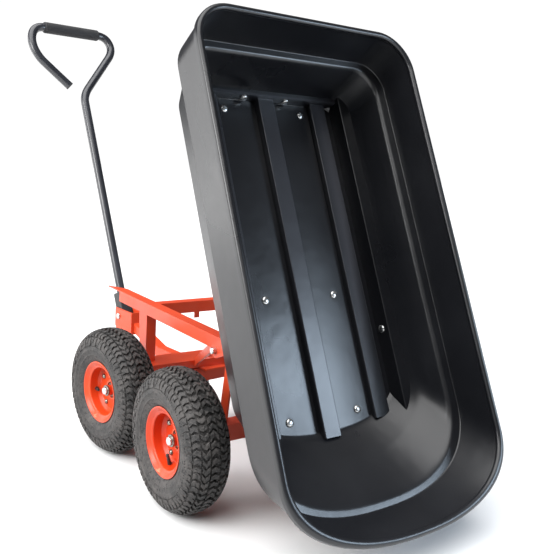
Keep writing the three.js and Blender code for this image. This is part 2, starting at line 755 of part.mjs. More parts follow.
// Stops along the handle: few on the straight runs and several through each bend.
function spineStops(path) {
  const stops = [];
  for (const curve of path.curves) {
    const count = curve.isLineCurve3 ? 4 : 5;
    for (let i = 0; i < count; i++) stops.push(curve.getPoint(i / count));
  }
  stops.push(path.curves.at(-1).getPoint(1));
  return stops;
}

function makeGrip() {
  const inner = HANDLE_RADIUS + 4 * GAP;
  const half = GRIP_HALF_LENGTH;
  const profile = [
    [inner, -half],
    [GRIP_RADIUS - 2, -half],
    [GRIP_RADIUS, -half + 3],
    [GRIP_RADIUS, half - 3],
    [GRIP_RADIUS - 2, half],
    [inner, half],
    [inner, -half],
  ];
  return turned(profile, 12).translate(0, GRIP_MIDDLE, HANDLE_LENGTH + LOOP_HEIGHT);
}

function addHandle() {
  const frame = handleFrame();
  add("handle_fork", makeFork(), "rubber", frame);
  add("handle_tube", makeHandleTube(), "handle", frame);
  add("handle_grip", makeGrip(), "grip", frame);
}

// ---------------------------------------------------------------- wheels

// Each wheel piece is turned about the y axis with y = 0 on the tyre centre plane, +y outwards.

// Closes a half section into a full one that is the same on both sides of the centre plane.
function bothSides(half) {
  const mirrored = half.map(([r, y]) => [r, -y]).reverse();
  return [...mirrored, ...half];
}

function makeTyre() {
  const wide = TYRE_HALF_WIDTH;
  const seat = RIM_SEAT_RADIUS + 2 * GAP;
  const outside = [
    [WHEEL_RADIUS, 22],
    [WHEEL_RADIUS - 8, 36],
    [100, wide],
    [78, wide - 5],
    [seat, 24],
  ];
  const inside = [
    [WHEEL_RADIUS - TYRE_WALL - 3, 24],
    [90, wide - TYRE_WALL - 1],
    [seat, 16],
  ];
  const outer = bothSides(outside);
  const inner = bothSides(inside).reverse();
  return turned([...outer, ...inner, outer[0]], 28);
}

// Pressed half rim: web against the centre plane, barrel, bead seat and rolled flange.
function makeRimHalf() {
  const bore = HUB_RADIUS + GAP;
  const web = GAP / 2;
  const barrel = RIM_SEAT_RADIUS - SHEET;
  const profile = [
    [bore, web],
    [RIM_WEB_RADIUS, web],
    [RIM_SEAT_RADIUS, 9],
    [RIM_SEAT_RADIUS, RIM_HALF_WIDTH - 4.4],
    [RIM_FLANGE_RADIUS, RIM_HALF_WIDTH + 2],
    [RIM_FLANGE_RADIUS - 4, RIM_HALF_WIDTH + 5],
    [barrel, RIM_HALF_WIDTH - 1],
    [barrel, 11],
    [RIM_WEB_RADIUS - 1, web + SHEET],
    [bore, web + SHEET],
    [bore, web],
  ];
  return turned(profile, 24);
}

function makeHub() {
  const bore = SHAFT_RADIUS + GAP;
  const profile = [
    [bore, HUB_INNER_END],
    [HUB_RADIUS, HUB_INNER_END + 2],
    [HUB_RADIUS, HUB_OUTER_END],
    [SPACER_RADIUS, HUB_OUTER_END],
    [SPACER_RADIUS, SPACER_END],
    [bore, SPACER_END],
    [bore, HUB_INNER_END],
  ];
  return turned(profile, 16);
}

// Push-on cap that keeps the wheel on its shaft.
function makeAxleCap() {
  const bore = SHAFT_RADIUS + GAP;
  const foot = SPACER_END + GAP;
  const profile = [
    [bore, foot],
    [CAP_RADIUS, foot],
    [CAP_RADIUS, foot + CAP_THICKNESS - 1],
    [CAP_RADIUS - 1, foot + CAP_THICKNESS],
    [bore, foot + CAP_THICKNESS],
    [bore, foot],
  ];
  return turned(profile, 16);
}

// Valve stem: stands on the rim barrel and leans outwards on its way in towards the hub.
function makeValve() {
  const profile = [
    [0, 0],
    [3.4, 0],
    [3.4, 12],
    [2.6, 14],
    [2.6, 22],
    [0, 22],
  ];
  const foot = RIM_SEAT_RADIUS - SHEET - 1.7;
  return turned(profile, 8).rotateX(THREE.MathUtils.degToRad(70)).translate(0, 12, -foot);
}

function wheelPose(frame, side) {
  return frame.clone()
    .multiply(new THREE.Matrix4().makeTranslation(0, side * HALF_TRACK, WHEEL_RADIUS))
    .multiply(new THREE.Matrix4().makeRotationZ(side > 0 ? 0 : Math.PI));
}

function addWheel(word, pose, valveTurn) {
  add(`tyre_${word}`, makeTyre(), "tyre", pose);
  add(`rim_outer_${word}`, makeRimHalf(), "rim", pose);
  add(`rim_inner_${word}`, makeRimHalf().rotateZ(Math.PI), "rim", pose);
  add(`hub_${word}`, makeHub(), "zinc", pose);
  add(`valve_${word}`, makeValve().rotateY(THREE.MathUtils.degToRad(valveTurn)), "rubber", pose);
  add(`axle_cap_${word}`, makeAxleCap(), "zinc", pose);
}

function addWheels() {
  const axles = [
    ["rear", chassisFrame, -10],
    ["front", steeringFrame(), -78],
  ];
  for (const [axle, frame, valveTurn] of axles) {
    for (const [side, hand] of [[1, "left"], [-1, "right"]]) {
      addWheel(`${axle}_${hand}`, wheelPose(frame, side), valveTurn);
    }
  }
}

addFrame();
addTub();
addSteering();
addHandle();
addWheels();

export default cart;
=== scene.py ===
"""Looks of the garden cart: moulded tub, painted frame, treaded tyres and pull handle.

Metres, in the frame of the CAD part: +X towards the pull handle, +Y left, +Z up.
"""

import json
import math
import random

import bmesh
import bpy
from mathutils import Matrix, Vector


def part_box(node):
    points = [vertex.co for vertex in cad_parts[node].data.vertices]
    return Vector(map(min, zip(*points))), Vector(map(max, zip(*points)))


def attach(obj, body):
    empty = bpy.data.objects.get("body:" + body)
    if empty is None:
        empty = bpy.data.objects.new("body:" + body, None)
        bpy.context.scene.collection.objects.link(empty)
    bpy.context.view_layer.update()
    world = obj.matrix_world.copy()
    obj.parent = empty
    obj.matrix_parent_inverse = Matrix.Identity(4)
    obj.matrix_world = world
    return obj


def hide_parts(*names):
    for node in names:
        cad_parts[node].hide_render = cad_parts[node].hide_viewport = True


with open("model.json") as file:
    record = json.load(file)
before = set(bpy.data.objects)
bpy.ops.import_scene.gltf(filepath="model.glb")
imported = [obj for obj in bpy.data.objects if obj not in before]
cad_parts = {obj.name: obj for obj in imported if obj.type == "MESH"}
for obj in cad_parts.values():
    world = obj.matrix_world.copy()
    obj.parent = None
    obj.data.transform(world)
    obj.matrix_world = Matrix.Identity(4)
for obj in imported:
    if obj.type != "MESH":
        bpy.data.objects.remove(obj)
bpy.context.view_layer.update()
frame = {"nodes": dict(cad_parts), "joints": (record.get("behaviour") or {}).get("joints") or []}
random.seed(7)

MM = 0.001
JOINTS = {joint["name"]: joint for joint in frame["joints"]}
NODES = frame["nodes"]

# ---------------------------------------------------------------- joints and frames on them

TUB_HINGE = JOINTS["tub_tip"]
TUB_TILT = math.radians(TUB_HINGE["range_deg"][1])
PIVOT_BACK = 547.8 * MM  # front rim edge to the hinge rod, along the rim
PIVOT_DEPTH = 234.6 * MM  # rim to the hinge rod, straight down
HANDLE_LEAN = math.radians(24)


def tub_frame():
    """x along the rim towards the handle, z out of the opening, origin on the front rim edge."""
    return (
        Matrix.Translation(TUB_HINGE["pos_m"])
        @ Matrix.Rotation(-TUB_TILT, 4, "Y")
        @ Matrix.Translation((PIVOT_BACK, 0, PIVOT_DEPTH))
    )


def turned_frame(joint, flip=False):
    """Frame on a joint whose y axis is the joint's axis, or runs against it when flipped."""
    across = Vector(joint["axis"]) * (-1 if flip else 1)
    up = Vector((0, 0, 1))
    ahead = across.cross(up)
    basis = Matrix((ahead, across, up)).transposed().to_4x4()
    return Matrix.Translation(joint["pos_m"]) @ basis


def handle_frame():
    """z up the handle tube, origin on its hinge."""
    return turned_frame(JOINTS["handle_hinge"]) @ Matrix.Rotation(HANDLE_LEAN, 4, "Y")


# ---------------------------------------------------------------- mesh helpers


def new_piece(name, mesh_builder, material, place=None):
    """Object with the mesh that mesh_builder fills, moved to its place."""
    mesh = bpy.data.meshes.new(name)
    bm = bmesh.new()
    mesh_builder(bm)
    bmesh.ops.recalc_face_normals(bm, faces=bm.faces)
    if place is not None:
        bm.transform(place)
    bm.to_mesh(mesh)
    bm.free()
    piece = bpy.data.objects.new(name, mesh)
    bpy.context.scene.collection.objects.link(piece)
    mesh.materials.append(material)
    return piece


def smooth(piece, angle=35):
    """Smooth shading with hard edges kept above the angle; flat faces stay flat."""
    mesh = piece.data
    mesh.shade_smooth()
    limit = math.radians(angle)
    bm = bmesh.new()
    bm.from_mesh(mesh)
    for edge in bm.edges:
        edge.smooth = len(edge.link_faces) == 2 and edge.calc_face_angle(0) < limit
    bm.to_mesh(mesh)
    bm.free()
    flatten_shading(piece)
    return piece


def flatten_shading(piece):
    """Lets the large faces set the shading, so that only the fillets between them look round."""
    weighted = piece.modifiers.new("shading", "WEIGHTED_NORMAL")
    weighted.keep_sharp = True
    weighted.weight = 90


def bevelled(piece, width, segments=2, angle=40):
    """Rounds the sharp edges of a piece."""
    bevel = piece.modifiers.new("edges", "BEVEL")
    bevel.width = width
    bevel.segments = segments
    bevel.limit_method = "ANGLE"
    bevel.angle_limit = math.radians(angle)
    piece.data.shade_smooth()
    flatten_shading(piece)
    return piece


def rounded(outline, closed=False):
    """Outline of (x, y, radius) corners turned into points, each corner rounded by an arc."""
    points = []
    count = len(outline)
    for i, (x, y, radius) in enumerate(outline):
        here = Vector((x, y))
        if radius <= 0 or (not closed and i in (0, count - 1)):
            points.append((x, y))
            continue
        before = Vector(outline[i - 1][:2]) - here
        after = Vector(outline[(i + 1) % count][:2]) - here
        turn = before.angle(after)
        reach = radius / math.tan(turn / 2)
        reach = min(reach, before.length * 0.49, after.length * 0.49)
        start = here + before.normalized() * reach
        end = here + after.normalized() * reach
        steps = 5
        for k in range(steps + 1):
            t = k / steps
            blend = start * (1 - t) ** 2 + here * (2 * t * (1 - t)) + end * t**2
            points.append((blend.x, blend.y))
    return points


def skin(bm, rings, closed_stack=False):
    """Joins a stack of equal rings of points with quads; returns the rings of corners."""
    made = [[bm.verts.new(p) for p in ring] for ring in rings]
    pairs = list(zip(made, made[1:]))
    if closed_stack:
        pairs.append((made[-1], made[0]))
    for low, high in pairs:
        count = len(low)
        for i in range(count):
            j = (i + 1) % count
            bm.faces.new((low[i], low[j], high[j], high[i]))
    return made


def close_ends(bm, rings):
    """Closes the first and the last ring of a skin with a face each; returns both faces."""
    return [bm.faces.new(list(reversed(rings[0]))), bm.faces.new(rings[-1])]


def lathe_rings(profile, sides):
    """Rings of points for (radius, y) points turned about the y axis."""
    angles = [2 * math.pi * i / sides for i in range(sides)]
    return [[(r * math.sin(a), y, r * math.cos(a)) for a in angles] for r, y in profile]


def lathe(bm, profile, sides):
    """Turns a closed outline of (radius, y) points about the y axis."""
    skin(bm, lathe_rings(profile, sides), closed_stack=True)


def capped_lathe(bm, profile, sides):
    """Turns an open outline whose first and last points are small rings, closed with a face."""
    close_ends(bm, skin(bm, lathe_rings(profile, sides)))


def sweep(bm, points, radius, sides=24):
    """A round tube along a line of points, both ends closed."""
    points = [Vector(p) for p in points]
    rings = []
    side = None
    for i, point in enumerate(points):
        ahead = points[min(i + 1, len(points) - 1)] - points[max(i - 1, 0)]
        ahead.normalize()
        if side is None:
            side = ahead.orthogonal().normalized()
        side = (side - ahead * side.dot(ahead)).normalized()
        up = ahead.cross(side)
        ring = []
        for k in range(sides):
            angle = 2 * math.pi * k / sides
            ring.append(point + (side * math.cos(angle) + up * math.sin(angle)) * radius)
        rings.append(ring)
    close_ends(bm, skin(bm, rings))


def prism_x(bm, outline, x0, x1, edge=0):
    """A (y, z) outline drawn out between two x values, with its end edges rounded."""
    low = [(x0, y, z) for y, z in outline]
    high = [(x1, y, z) for y, z in outline]
    ends = close_ends(bm, skin(bm, [low, high]))
    if edge > 0:
        rim = [e for face in ends for e in face.edges]
        bmesh.ops.bevel(bm, geom=rim, offset=edge, segments=2, affect="EDGES")


def add_part(bm, builder, place):
    """Builds a part by itself and adds it to a mesh at its place."""
    part = bmesh.new()
    builder(part)
    part.transform(place)
    mesh = bpy.data.meshes.new("part")
    part.to_mesh(mesh)
    part.free()
    bm.from_mesh(mesh)
    bpy.data.meshes.remove(mesh)


def carve(piece, **others):
    """Shapes a piece with other objects, then drops them: join=, cut= or within=."""
    operations = {"join": "UNION", "cut": "DIFFERENCE", "within": "INTERSECT"}
    for word, other in others.items():
        modifier = piece.modifiers.new(word, "BOOLEAN")
        modifier.object = other
        modifier.operation = operations[word]
        modifier.solver = "MANIFOLD"
    bpy.context.view_layer.update()
    graph = bpy.context.evaluated_depsgraph_get()
    carved = bpy.data.meshes.new_from_object(piece.evaluated_get(graph))
    piece.modifiers.clear()
    piece.data = carved
    for other in others.values():
        bpy.data.objects.remove(other)
    return piece


# ---------------------------------------------------------------- material helpers


class Shader:
    """A material under construction: its node tree and its surface shader."""

    def __init__(self, name):
        self.material = bpy.data.materials.new(name)
        self.material.use_nodes = True
        self.tree = self.material.node_tree
        self.surface = self.tree.nodes["Principled BSDF"]
        self.place = self.node("ShaderNodeTexCoord").outputs["Object"]

    def node(self, kind, inputs=None, **settings):
        made = self.tree.nodes.new(kind)
        for key, value in settings.items():
            setattr(made, key, value)
        for key, value in (inputs or {}).items():
            if isinstance(value, bpy.types.NodeSocket):
                self.tree.links.new(value, made.inputs[key])
            else:
                made.inputs[key].default_value = value
        return made

    def noise(self, scale, detail=3, roughness=0.55, stretch=None):
        vector = self.place
        if stretch is not None:
            scaled = {"Vector": self.place, "Scale": stretch}
            vector = self.node("ShaderNodeMapping", scaled).outputs["Vector"]
        inputs = {"Vector": vector, "Scale": scale, "Detail": detail, "Roughness": roughness}
        return self.node("ShaderNodeTexNoise", inputs).outputs["Fac"]

    def remap(self, value, low, high, to_low, to_high):
        inputs = {
            "Value": value,
            "From Min": low,
            "From Max": high,
            "To Min": to_low,
            "To Max": to_high,
        }
        return self.node("ShaderNodeMapRange", inputs).outputs["Result"]

    def mix(self, amount, first, second):
        """Blend of two colours; a colour mix has them on sockets 6 and 7 and its result on 2."""
        made = self.node("ShaderNodeMix", {"Factor": amount}, data_type="RGBA")
        for socket, value in ((made.inputs[6], first), (made.inputs[7], second)):
            if isinstance(value, bpy.types.NodeSocket):
                self.tree.links.new(value, socket)
            else:
                socket.default_value = (*value, 1)
        return made.outputs[2]

    def edges(self, low, high):
        """1 on outward edges, 0 elsewhere."""
        pointiness = self.node("ShaderNodeNewGeometry").outputs["Pointiness"]
        return self.remap(pointiness, low, high, 0, 1)

    def hollows(self, low, high):
        """1 in inward corners, 0 elsewhere."""
        pointiness = self.node("ShaderNodeNewGeometry").outputs["Pointiness"]
        return self.remap(pointiness, low, high, 1, 0)

    def bump(self, height, strength, distance, below=None):
        inputs = {"Height": height, "Strength": strength, "Distance": distance}
        if below is not None:
            inputs["Normal"] = below
        return self.node("ShaderNodeBump", inputs).outputs["Normal"]

    def set(self, **inputs):
        for key, value in inputs.items():
            name = key.replace("_", " ")
            if isinstance(value, bpy.types.NodeSocket):
                self.tree.links.new(value, self.surface.inputs[name])
            else:
                self.surface.inputs[name].default_value = value
        return self.material


def moulded_plastic():
    """Black polyethylene: satin, finely grained, faintly scuffed and cloudy, with edges paler from
    painted highlight and wear.
    """
    s = Shader("moulded_plastic")
    cloud = s.remap(s.noise(3.5, 4), 0.35, 0.7, 0, 1)
    scuff = s.remap(s.noise(9, 6, 0.7, stretch=(1, 14, 1)), 0.62, 0.8, 0, 1)
    colour = s.mix(cloud, (0.0062, 0.0066, 0.0085), (0.0105, 0.0112, 0.0138))
    colour = s.mix(s.remap(scuff, 0, 1, 0, 0.25), colour, (0.028, 0.029, 0.034))
    # Outward edges lightened: painted highlight along the edges, with some wear.
    colour = s.mix(s.edges(0.53, 0.62), colour, (0.05, 0.052, 0.062))
    normal = s.bump(s.noise(7, 3), 0.45, 0.005)
    normal = s.bump(s.noise(1400, 2), 0.12, 0.0004, below=normal)
    roughness = s.remap(cloud, 0, 1, 0.26, 0.36)
    return s.set(
        Base_Color=colour,
        Roughness=roughness,
        Normal=normal,
        IOR=1.53,
    )


def powder_coat(name, deep, light, edge_wear_and_highlight):
    """Orange-red powder coat: slight orange peel, edges paler from painted highlight and wear,
    corners darker from painted shade.
    """
    s = Shader(name)
    tone = s.remap(s.noise(6, 4), 0.3, 0.7, 0, 1)
    colour = s.mix(tone, deep, light)
    speck = s.remap(s.noise(260, 3, 0.7), 0.66, 0.76, 0, 0.4)
    colour = s.mix(speck, colour, (0.28, 0.02, 0.008))
    # Outward edges lightened to salmon: painted highlight, with some wear; the last argument sets
    # how strongly.
    colour = s.mix(s.remap(s.edges(0.53, 0.6), 0, 1, 0, edge_wear_and_highlight), colour, (0.95, 0.3, 0.17))
    # Inward corners darkened: painted shade.
    colour = s.mix(s.remap(s.hollows(0.4, 0.48), 0, 1, 0, 0.6), colour, (0.2, 0.01, 0.004))
    normal = s.bump(s.noise(420, 2), 0.2, 0.0006)
    roughness = s.remap(s.noise(30, 4), 0.3, 0.7, 0.28, 0.42)
    return s.set(
        Base_Color=colour,
        Roughness=roughness,
        Normal=normal,
        Specular_IOR_Level=0.4,
        Coat_Weight=0.12,
        Coat_Roughness=0.3,
    )


def tyre_rubber():
    """Dark grey rubber with pale dust on the walls and blocks, and grooves darkened by painted
    shade.
    """
    s = Shader("tyre_rubber")
    dust = s.remap(s.noise(26, 6, 0.7), 0.38, 0.66, 0, 1)
    fine = s.remap(s.noise(150, 4, 0.75), 0.47, 0.6, 0, 1)
    colour = s.mix(dust, (0.01, 0.01, 0.0105), (0.07, 0.064, 0.061))
    colour = s.mix(s.remap(fine, 0, 1, 0, 0.42), colour, (0.14, 0.13, 0.125))
    pits = s.remap(s.noise(190, 1, 0.5), 0.58, 0.64, 0, 0.9)
    colour = s.mix(pits, colour, (0.008, 0.008, 0.008))
    # Grooves and inner corners darkened: painted shade.
    colour = s.mix(s.remap(s.hollows(0.42, 0.49), 0, 1, 0, 0.9), colour, (0.004, 0.004, 0.004))
    normal = s.bump(s.noise(150, 4, 0.75), 0.5, 0.002)
    normal = s.bump(s.noise(700, 3, 0.7), 0.35, 0.0007, below=normal)
    roughness = s.remap(fine, 0, 1, 0.6, 0.82)
    return s.set(Base_Color=colour, Roughness=roughness, Normal=normal)


def zinc_plate(name, grey, bright):
    """Zinc plating with a little cloudiness, dull specks and painted shade in its hollows."""
    s = Shader(name)
    cloud = s.remap(s.noise(60, 4), 0.3, 0.7, 0, 1)
    colour = s.mix(cloud, grey, bright)
    # Hollows darkened: painted shade.
    colour = s.mix(s.remap(s.hollows(0.4, 0.49), 0, 1, 0, 0.8), colour, (0.08, 0.08, 0.08))
    dull = s.remap(s.noise(300, 4, 0.7), 0.62, 0.75, 0, 0.5)
    colour = s.mix(dull, colour, (0.25, 0.25, 0.24))
    roughness = s.remap(cloud, 0, 1, 0.18, 0.32)
    normal = s.bump(s.noise(500, 2), 0.12, 0.0003)
    return s.set(Base_Color=colour, Roughness=roughness, Metallic=0.95, Normal=normal)


def handle_paint():
    """Anthracite satin enamel, rubbed lighter in places."""
    s = Shader("handle_paint")
    tone = s.remap(s.noise(10, 4), 0.3, 0.7, 0, 1)
    colour = s.mix(tone, (0.012, 0.013, 0.018), (0.024, 0.026, 0.033))
    rub = s.remap(s.noise(45, 5, 0.7, stretch=(1, 1, 0.2)), 0.62, 0.75, 0, 0.35)
    colour = s.mix(rub, colour, (0.1, 0.105, 0.115))
    normal = s.bump(s.noise(500, 2), 0.16, 0.0004)
    roughness = s.remap(tone, 0, 1, 0.3, 0.4)
    return s.set(
        Base_Color=colour,
        Roughness=roughness,
        Normal=normal,
        Coat_Weight=0.5,
        Coat_Roughness=0.12,
    )


def grip_rubber():
    """Soft matt sleeve with a pebbled skin."""
    s = Shader("grip_rubber")
    tone = s.remap(s.noise(40, 4), 0.3, 0.7, 0, 1)
    colour = s.mix(tone, (0.02, 0.02, 0.022), (0.036, 0.036, 0.038))
    normal = s.bump(s.noise(900, 3), 0.5, 0.0006)
    roughness = s.remap(tone, 0, 1, 0.62, 0.78)
    return s.set(Base_Color=colour, Roughness=roughness, Normal=normal)


def black_moulding():
    """Glass-filled nylon: near black, slightly mottled, with edges paler from painted highlight
    and wear.
    """
    s = Shader("black_moulding")
    tone = s.remap(s.noise(70, 5, 0.65), 0.3, 0.7, 0, 1)
    colour = s.mix(tone, (0.01, 0.01, 0.011), (0.022, 0.022, 0.024))
    # Outward edges lightened: painted highlight, with some wear.
    colour = s.mix(s.remap(s.edges(0.53, 0.62), 0, 1, 0, 0.6), colour, (0.07, 0.07, 0.075))
    normal = s.bump(s.noise(600, 3), 0.25, 0.0004)
    roughness = s.remap(tone, 0, 1, 0.38, 0.52)
    return s.set(Base_Color=colour, Roughness=roughness, Normal=normal)


PLASTIC = moulded_plastic()
PAINT = powder_coat("frame_paint", (0.64, 0.042, 0.007), (0.76, 0.068, 0.014), 0.06)
# The rims' last argument is high: their rolled flanges get a strong painted highlight, with some
# wear.
RIM_PAINT = powder_coat("rim_paint", (0.64, 0.04, 0.006), (0.74, 0.07, 0.013), 0.55)
RUBBER = tyre_rubber()
ZINC = zinc_plate("zinc_plate", (0.46, 0.47, 0.48), (0.66, 0.66, 0.64))
WHEEL_ZINC = zinc_plate("wheel_zinc", (0.16, 0.15, 0.13), (0.3, 0.28, 0.25))
HANDLE = handle_paint()
GRIP = grip_rubber()
MOULDING = black_moulding()


def finish_piece(piece, body, slot, *nodes):
    """Seats a piece on its body and hides the CAD nodes it stands for; the slot is not used."""
    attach(piece, body)
    if nodes:
        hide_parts(*nodes)
    return piece


# ---------------------------------------------------------------- tub

# Inside of the tub from the floor up: depth, half width, front, rear, corner radius, length of
# the bowed dump end and how full its curve is.
INSIDE_KEYS = (
    (190, 183, -75, -724, 32, 76, 2.2),
    (186, 187, -69, -733, 38, 88, 2.2),
    (140, 202, -56, -790, 44, 138, 2.3),
    (87, 217, -37, -852, 52, 148, 2.5),
    (84, 236, -22, -866, 62, 150, 2.4),
    (13, 238.7, -8.4, -901.6, 69, 128.5, 2.3),
)
RIM_EDGE = (3, 245, 0, -910, 75, 131, 2.3)  # outermost line of the rim, in the same order
RIM_SKIRT = 14  # depth of the lower edge of the skirt round the rim
BEAD_RADIUS = 6
WALL = 3.5
FLOOR_DEPTH = 190
CORNER_REACH = (3, 6, 8, 2.2, 3)  # how far each fillet reaches along the walls beside it
RIB_FOOT = -FLOOR_DEPTH - 1.5  # ribs, benches and step start inside the floor
RIB_FRONT = -62
RIBS = (
    # middle, half width, depth of the top and rear end of each floor rib
    (0, 19, 175, -738),
    (130, 19, 177, -721),
    (-130, 19, 177, -721),
)
BENCH_INNER = 171
BENCH_TOP = 155
BENCH_WALL_FOOT = 188  # the bench's far side runs inside the tub's wall
BENCH_WALL_TOP = 199
BENCH_END = -760  # runs out into the sloping dump end before this
BENCH_HOLLOW_FRONT = -82
BENCH_HOLLOW_END = -697
STEP_HALF_WIDTH = 172
STEP_REAR = -74
STEP_TOP = 165
GROOVE_FOOT = -FLOOR_DEPTH - 14
GROOVE_SHORTER = 14  # grooves under the ribs end before the ribs do
DIMPLE_RADIUS = 14
DIMPLE_DEPTH = 0.9
FLOOR_BOLTS = ((-95, 91), (-474, 81), (-698, 80))  # place along the tub, distance sideways
BENCH_BOLT = (-554, -174)  # place along the tub and height
STEP_BOLT = (49.5, -179)  # distance sideways and height
BOLT_GRIP = 7  # from the head's seat to the nut


def grown(key, amount, drop=0):
    """The outline that stands a wall's thickness outside another one."""
    depth, half_width, front, rear, corner, bow, fullness = key
    return (
        depth + drop,
        half_width + amount,
        front + amount,
        rear - amount,
        corner + amount,
        bow,
        fullness,
    )


def softened(keys, reaches, steps=4):
    """Keys with each inner corner replaced by a short curve."""
    stack = [keys[0]]
    for before, here, after, reach in zip(keys, keys[1:], keys[2:], reaches):
        arms = []
        for other in (before, after):
            length = math.hypot(other[0] - here[0], other[1] - here[1], other[2] - here[2])
            share = min(reach / length, 0.45)
            arms.append([h + (o - h) * share for h, o in zip(here, other)])
        for k in range(steps + 1):
            t = k / steps
            a, b, c = (1 - t) ** 2, 2 * t * (1 - t), t**2
            stack.append([a * p + b * h + c * q for p, h, q in zip(arms[0], here, arms[1])])
    stack.append(keys[-1])
    return stack


def tub_ring(key):
    """One level outline of the tub, in millimetres."""
    depth, half_width, front, rear, corner, bow, fullness = key
    half = []
    for k in range(4):
        half.append((front, (half_width - corner) * k / 4))
    for k in range(13):
        angle = math.pi / 2 * k / 12
        x = front - corner + corner * math.cos(angle)
        half.append((x, half_width - corner + corner * math.sin(angle)))
    start = front - corner
    end = rear + bow
    for k in range(1, 16):
        half.append((start + (end - start) * k / 16, half_width))
    for k in range(33):
        angle = math.pi / 2 * k / 32
        back = math.sin(angle) ** (2 / fullness)
        inward = max(math.cos(angle), 0) ** (2 / fullness) if k < 32 else 0
        half.append((end - bow * back, half_width * inward))
    mirrored = [(x, -y) for x, y in reversed(half[1:-1])]
    return [(x, y, -depth) for x, y in half + mirrored]


def rim_bead():
    """The rolled edge: round from under its inner side over the top to the outer skirt."""
    stack = []
    for k in range(13):
        angle = math.radians(-40 + 220 * k / 12)
        key = grown(RIM_EDGE, -BEAD_RADIUS * (1 + math.cos(angle)))
        stack.append((BEAD_RADIUS * (1 - math.sin(angle)), *key[1:]))
    return stack


def outer_stack():
    """Keys of the outer skin, from under the floor up to the edge of the skirt."""
    keys = [grown(key, WALL, WALL) for key in INSIDE_KEYS[:-1]]
    keys.append(grown((RIM_SKIRT - 2, *INSIDE_KEYS[-1][1:]), WALL))
    skirt = [
        grown((RIM_SKIRT, *RIM_EDGE[1:]), -2),
        (RIM_SKIRT - 0.6, *RIM_EDGE[1:]),
        (RIM_SKIRT - 3, *RIM_EDGE[1:]),
    ]
    return softened(keys, CORNER_REACH) + skirt


def close_stack(bm, stack):
    """Skins a stack of keys and closes it at both ends."""
    close_ends(bm, skin(bm, [tub_ring(key) for key in stack]))


def tub_shell(bm):
    """Outer skin, rolled rim and inner skin in one closed stack."""
    inner = softened(INSIDE_KEYS, CORNER_REACH)
    close_stack(bm, outer_stack() + list(reversed(rim_bead())) + list(reversed(inner)))


def tub_block(bm):
    """The tub as if it were solid, to trim the steps and ribs to."""
    inner_skin = [grown(key, 1, 1) for key in INSIDE_KEYS]
    close_stack(bm, softened(inner_skin, CORNER_REACH))


def rib_outline(centre, half_width, top, foot, radius):
    """(y, z) section of a floor rib, a little narrower at the top."""
    outline = [
        (centre - half_width - 0.6, foot, 0),
        (centre + half_width + 0.6, foot, 0),
        (centre + half_width - 0.6, -top, radius),
        (centre - half_width + 0.6, -top, radius),
    ]
    return rounded(outline, closed=True)


def bench_outline(side, inset, foot, radius):
    """(y, z) section of the bench along one side, or of the hollow inside it."""
    outline = [
        (side * (BENCH_INNER + inset), foot, 0),
        (side * (BENCH_WALL_FOOT - inset), foot, 0),
        (side * (BENCH_WALL_TOP - inset), -BENCH_TOP - inset, 0),
        (side * (BENCH_INNER + inset), -BENCH_TOP - inset, radius),
    ]
    return rounded(outline, closed=True)


def tub_ribs(bm):
    """Floor ribs, side benches and the step across the front."""
    for centre, half_width, top, end in RIBS:
        prism_x(bm, rib_outline(centre, half_width, top, RIB_FOOT, 2), end, RIB_FRONT, 1)
    for side in (1, -1):
        prism_x(bm, bench_outline(side, 0, RIB_FOOT, 2.5), BENCH_END, RIB_FRONT)
    outline = [
        (-STEP_HALF_WIDTH, RIB_FOOT),
        (STEP_HALF_WIDTH, RIB_FOOT),
        (STEP_HALF_WIDTH, -STEP_TOP),
        (-STEP_HALF_WIDTH, -STEP_TOP),
    ]
    prism_x(bm, outline, STEP_REAR, RIB_FRONT, 1.5)


def dimple(bm, place):
    """A short plug with a shallow cone below, cut from the floor."""
    profile = [(0.4, -DIMPLE_DEPTH), (DIMPLE_RADIUS, 0), (DIMPLE_RADIUS, 4), (0.4, 4)]
    add_part(bm, lambda part: capped_lathe(part, profile, 32), place)


def tub_hollows(bm):
    """Grooves under the ribs and benches, and a dimple round each floor bolt."""
    for centre, half_width, top, end in RIBS:
        outline = rib_outline(centre, half_width - WALL, top + WALL, GROOVE_FOOT, 2)
        prism_x(bm, outline, end + GROOVE_SHORTER, RIB_FRONT - GROOVE_SHORTER)
    for side in (1, -1):
        outline = bench_outline(side, WALL + 2, GROOVE_FOOT, 2)
        prism_x(bm, outline, BENCH_HOLLOW_END, BENCH_HOLLOW_FRONT)
    upright = Matrix.Rotation(math.pi / 2, 4, "X")
    for x, across in FLOOR_BOLTS:
        for y in (across, -across):
            dimple(bm, Matrix.Translation((x, y, -FLOOR_DEPTH)) @ upright)


def build_tub():
    """The moulding, with its ribs trimmed and joined on and its hollows cut out."""
    place = tub_frame() @ Matrix.Scale(MM, 4)
    tub = new_piece("tub_moulding", tub_shell, PLASTIC)
    ribs = new_piece("ribs", tub_ribs, PLASTIC)
    carve(ribs, within=new_piece("block", tub_block, PLASTIC))
    hollows = new_piece("hollows", tub_hollows, PLASTIC)
    carve(tub, join=ribs, cut=hollows)
    tub.data.transform(place)
    smooth(tub, 32)
    finish_piece(tub, "tub_body", "tub_plastic", "tub")


def bolt_profile():
    """Domed carriage bolt with a nut, on the y axis: head up, shank down."""
    nut_end = -BOLT_GRIP - 6
    dome = []
    for k in range(7):
        angle = math.pi / 2 * (1 - k / 6)
        dome.append((0.3 + 7.7 * math.cos(angle), 0.9 + 3.4 * math.sin(angle)))
    return dome + [
        (8, -0.2),
        (4, -0.2),
        (4, -BOLT_GRIP),
        (6.5, -BOLT_GRIP - 0.3),
        (6.5, nut_end),
        (4, nut_end - 0.2),
        (4, nut_end - 3),
        (0.3, nut_end - 3.6),
    ]


def add_tub_bolt(name, place, *nodes):
    """One bolt that rides on the tub and stands for the CAD nodes given."""
    profile = bolt_profile()
    bolt = new_piece(name, lambda bm: capped_lathe(bm, profile, 24), ZINC, place)
    smooth(bolt, 40)
    finish_piece(bolt, "tub_body", "zinc_plate", *nodes)


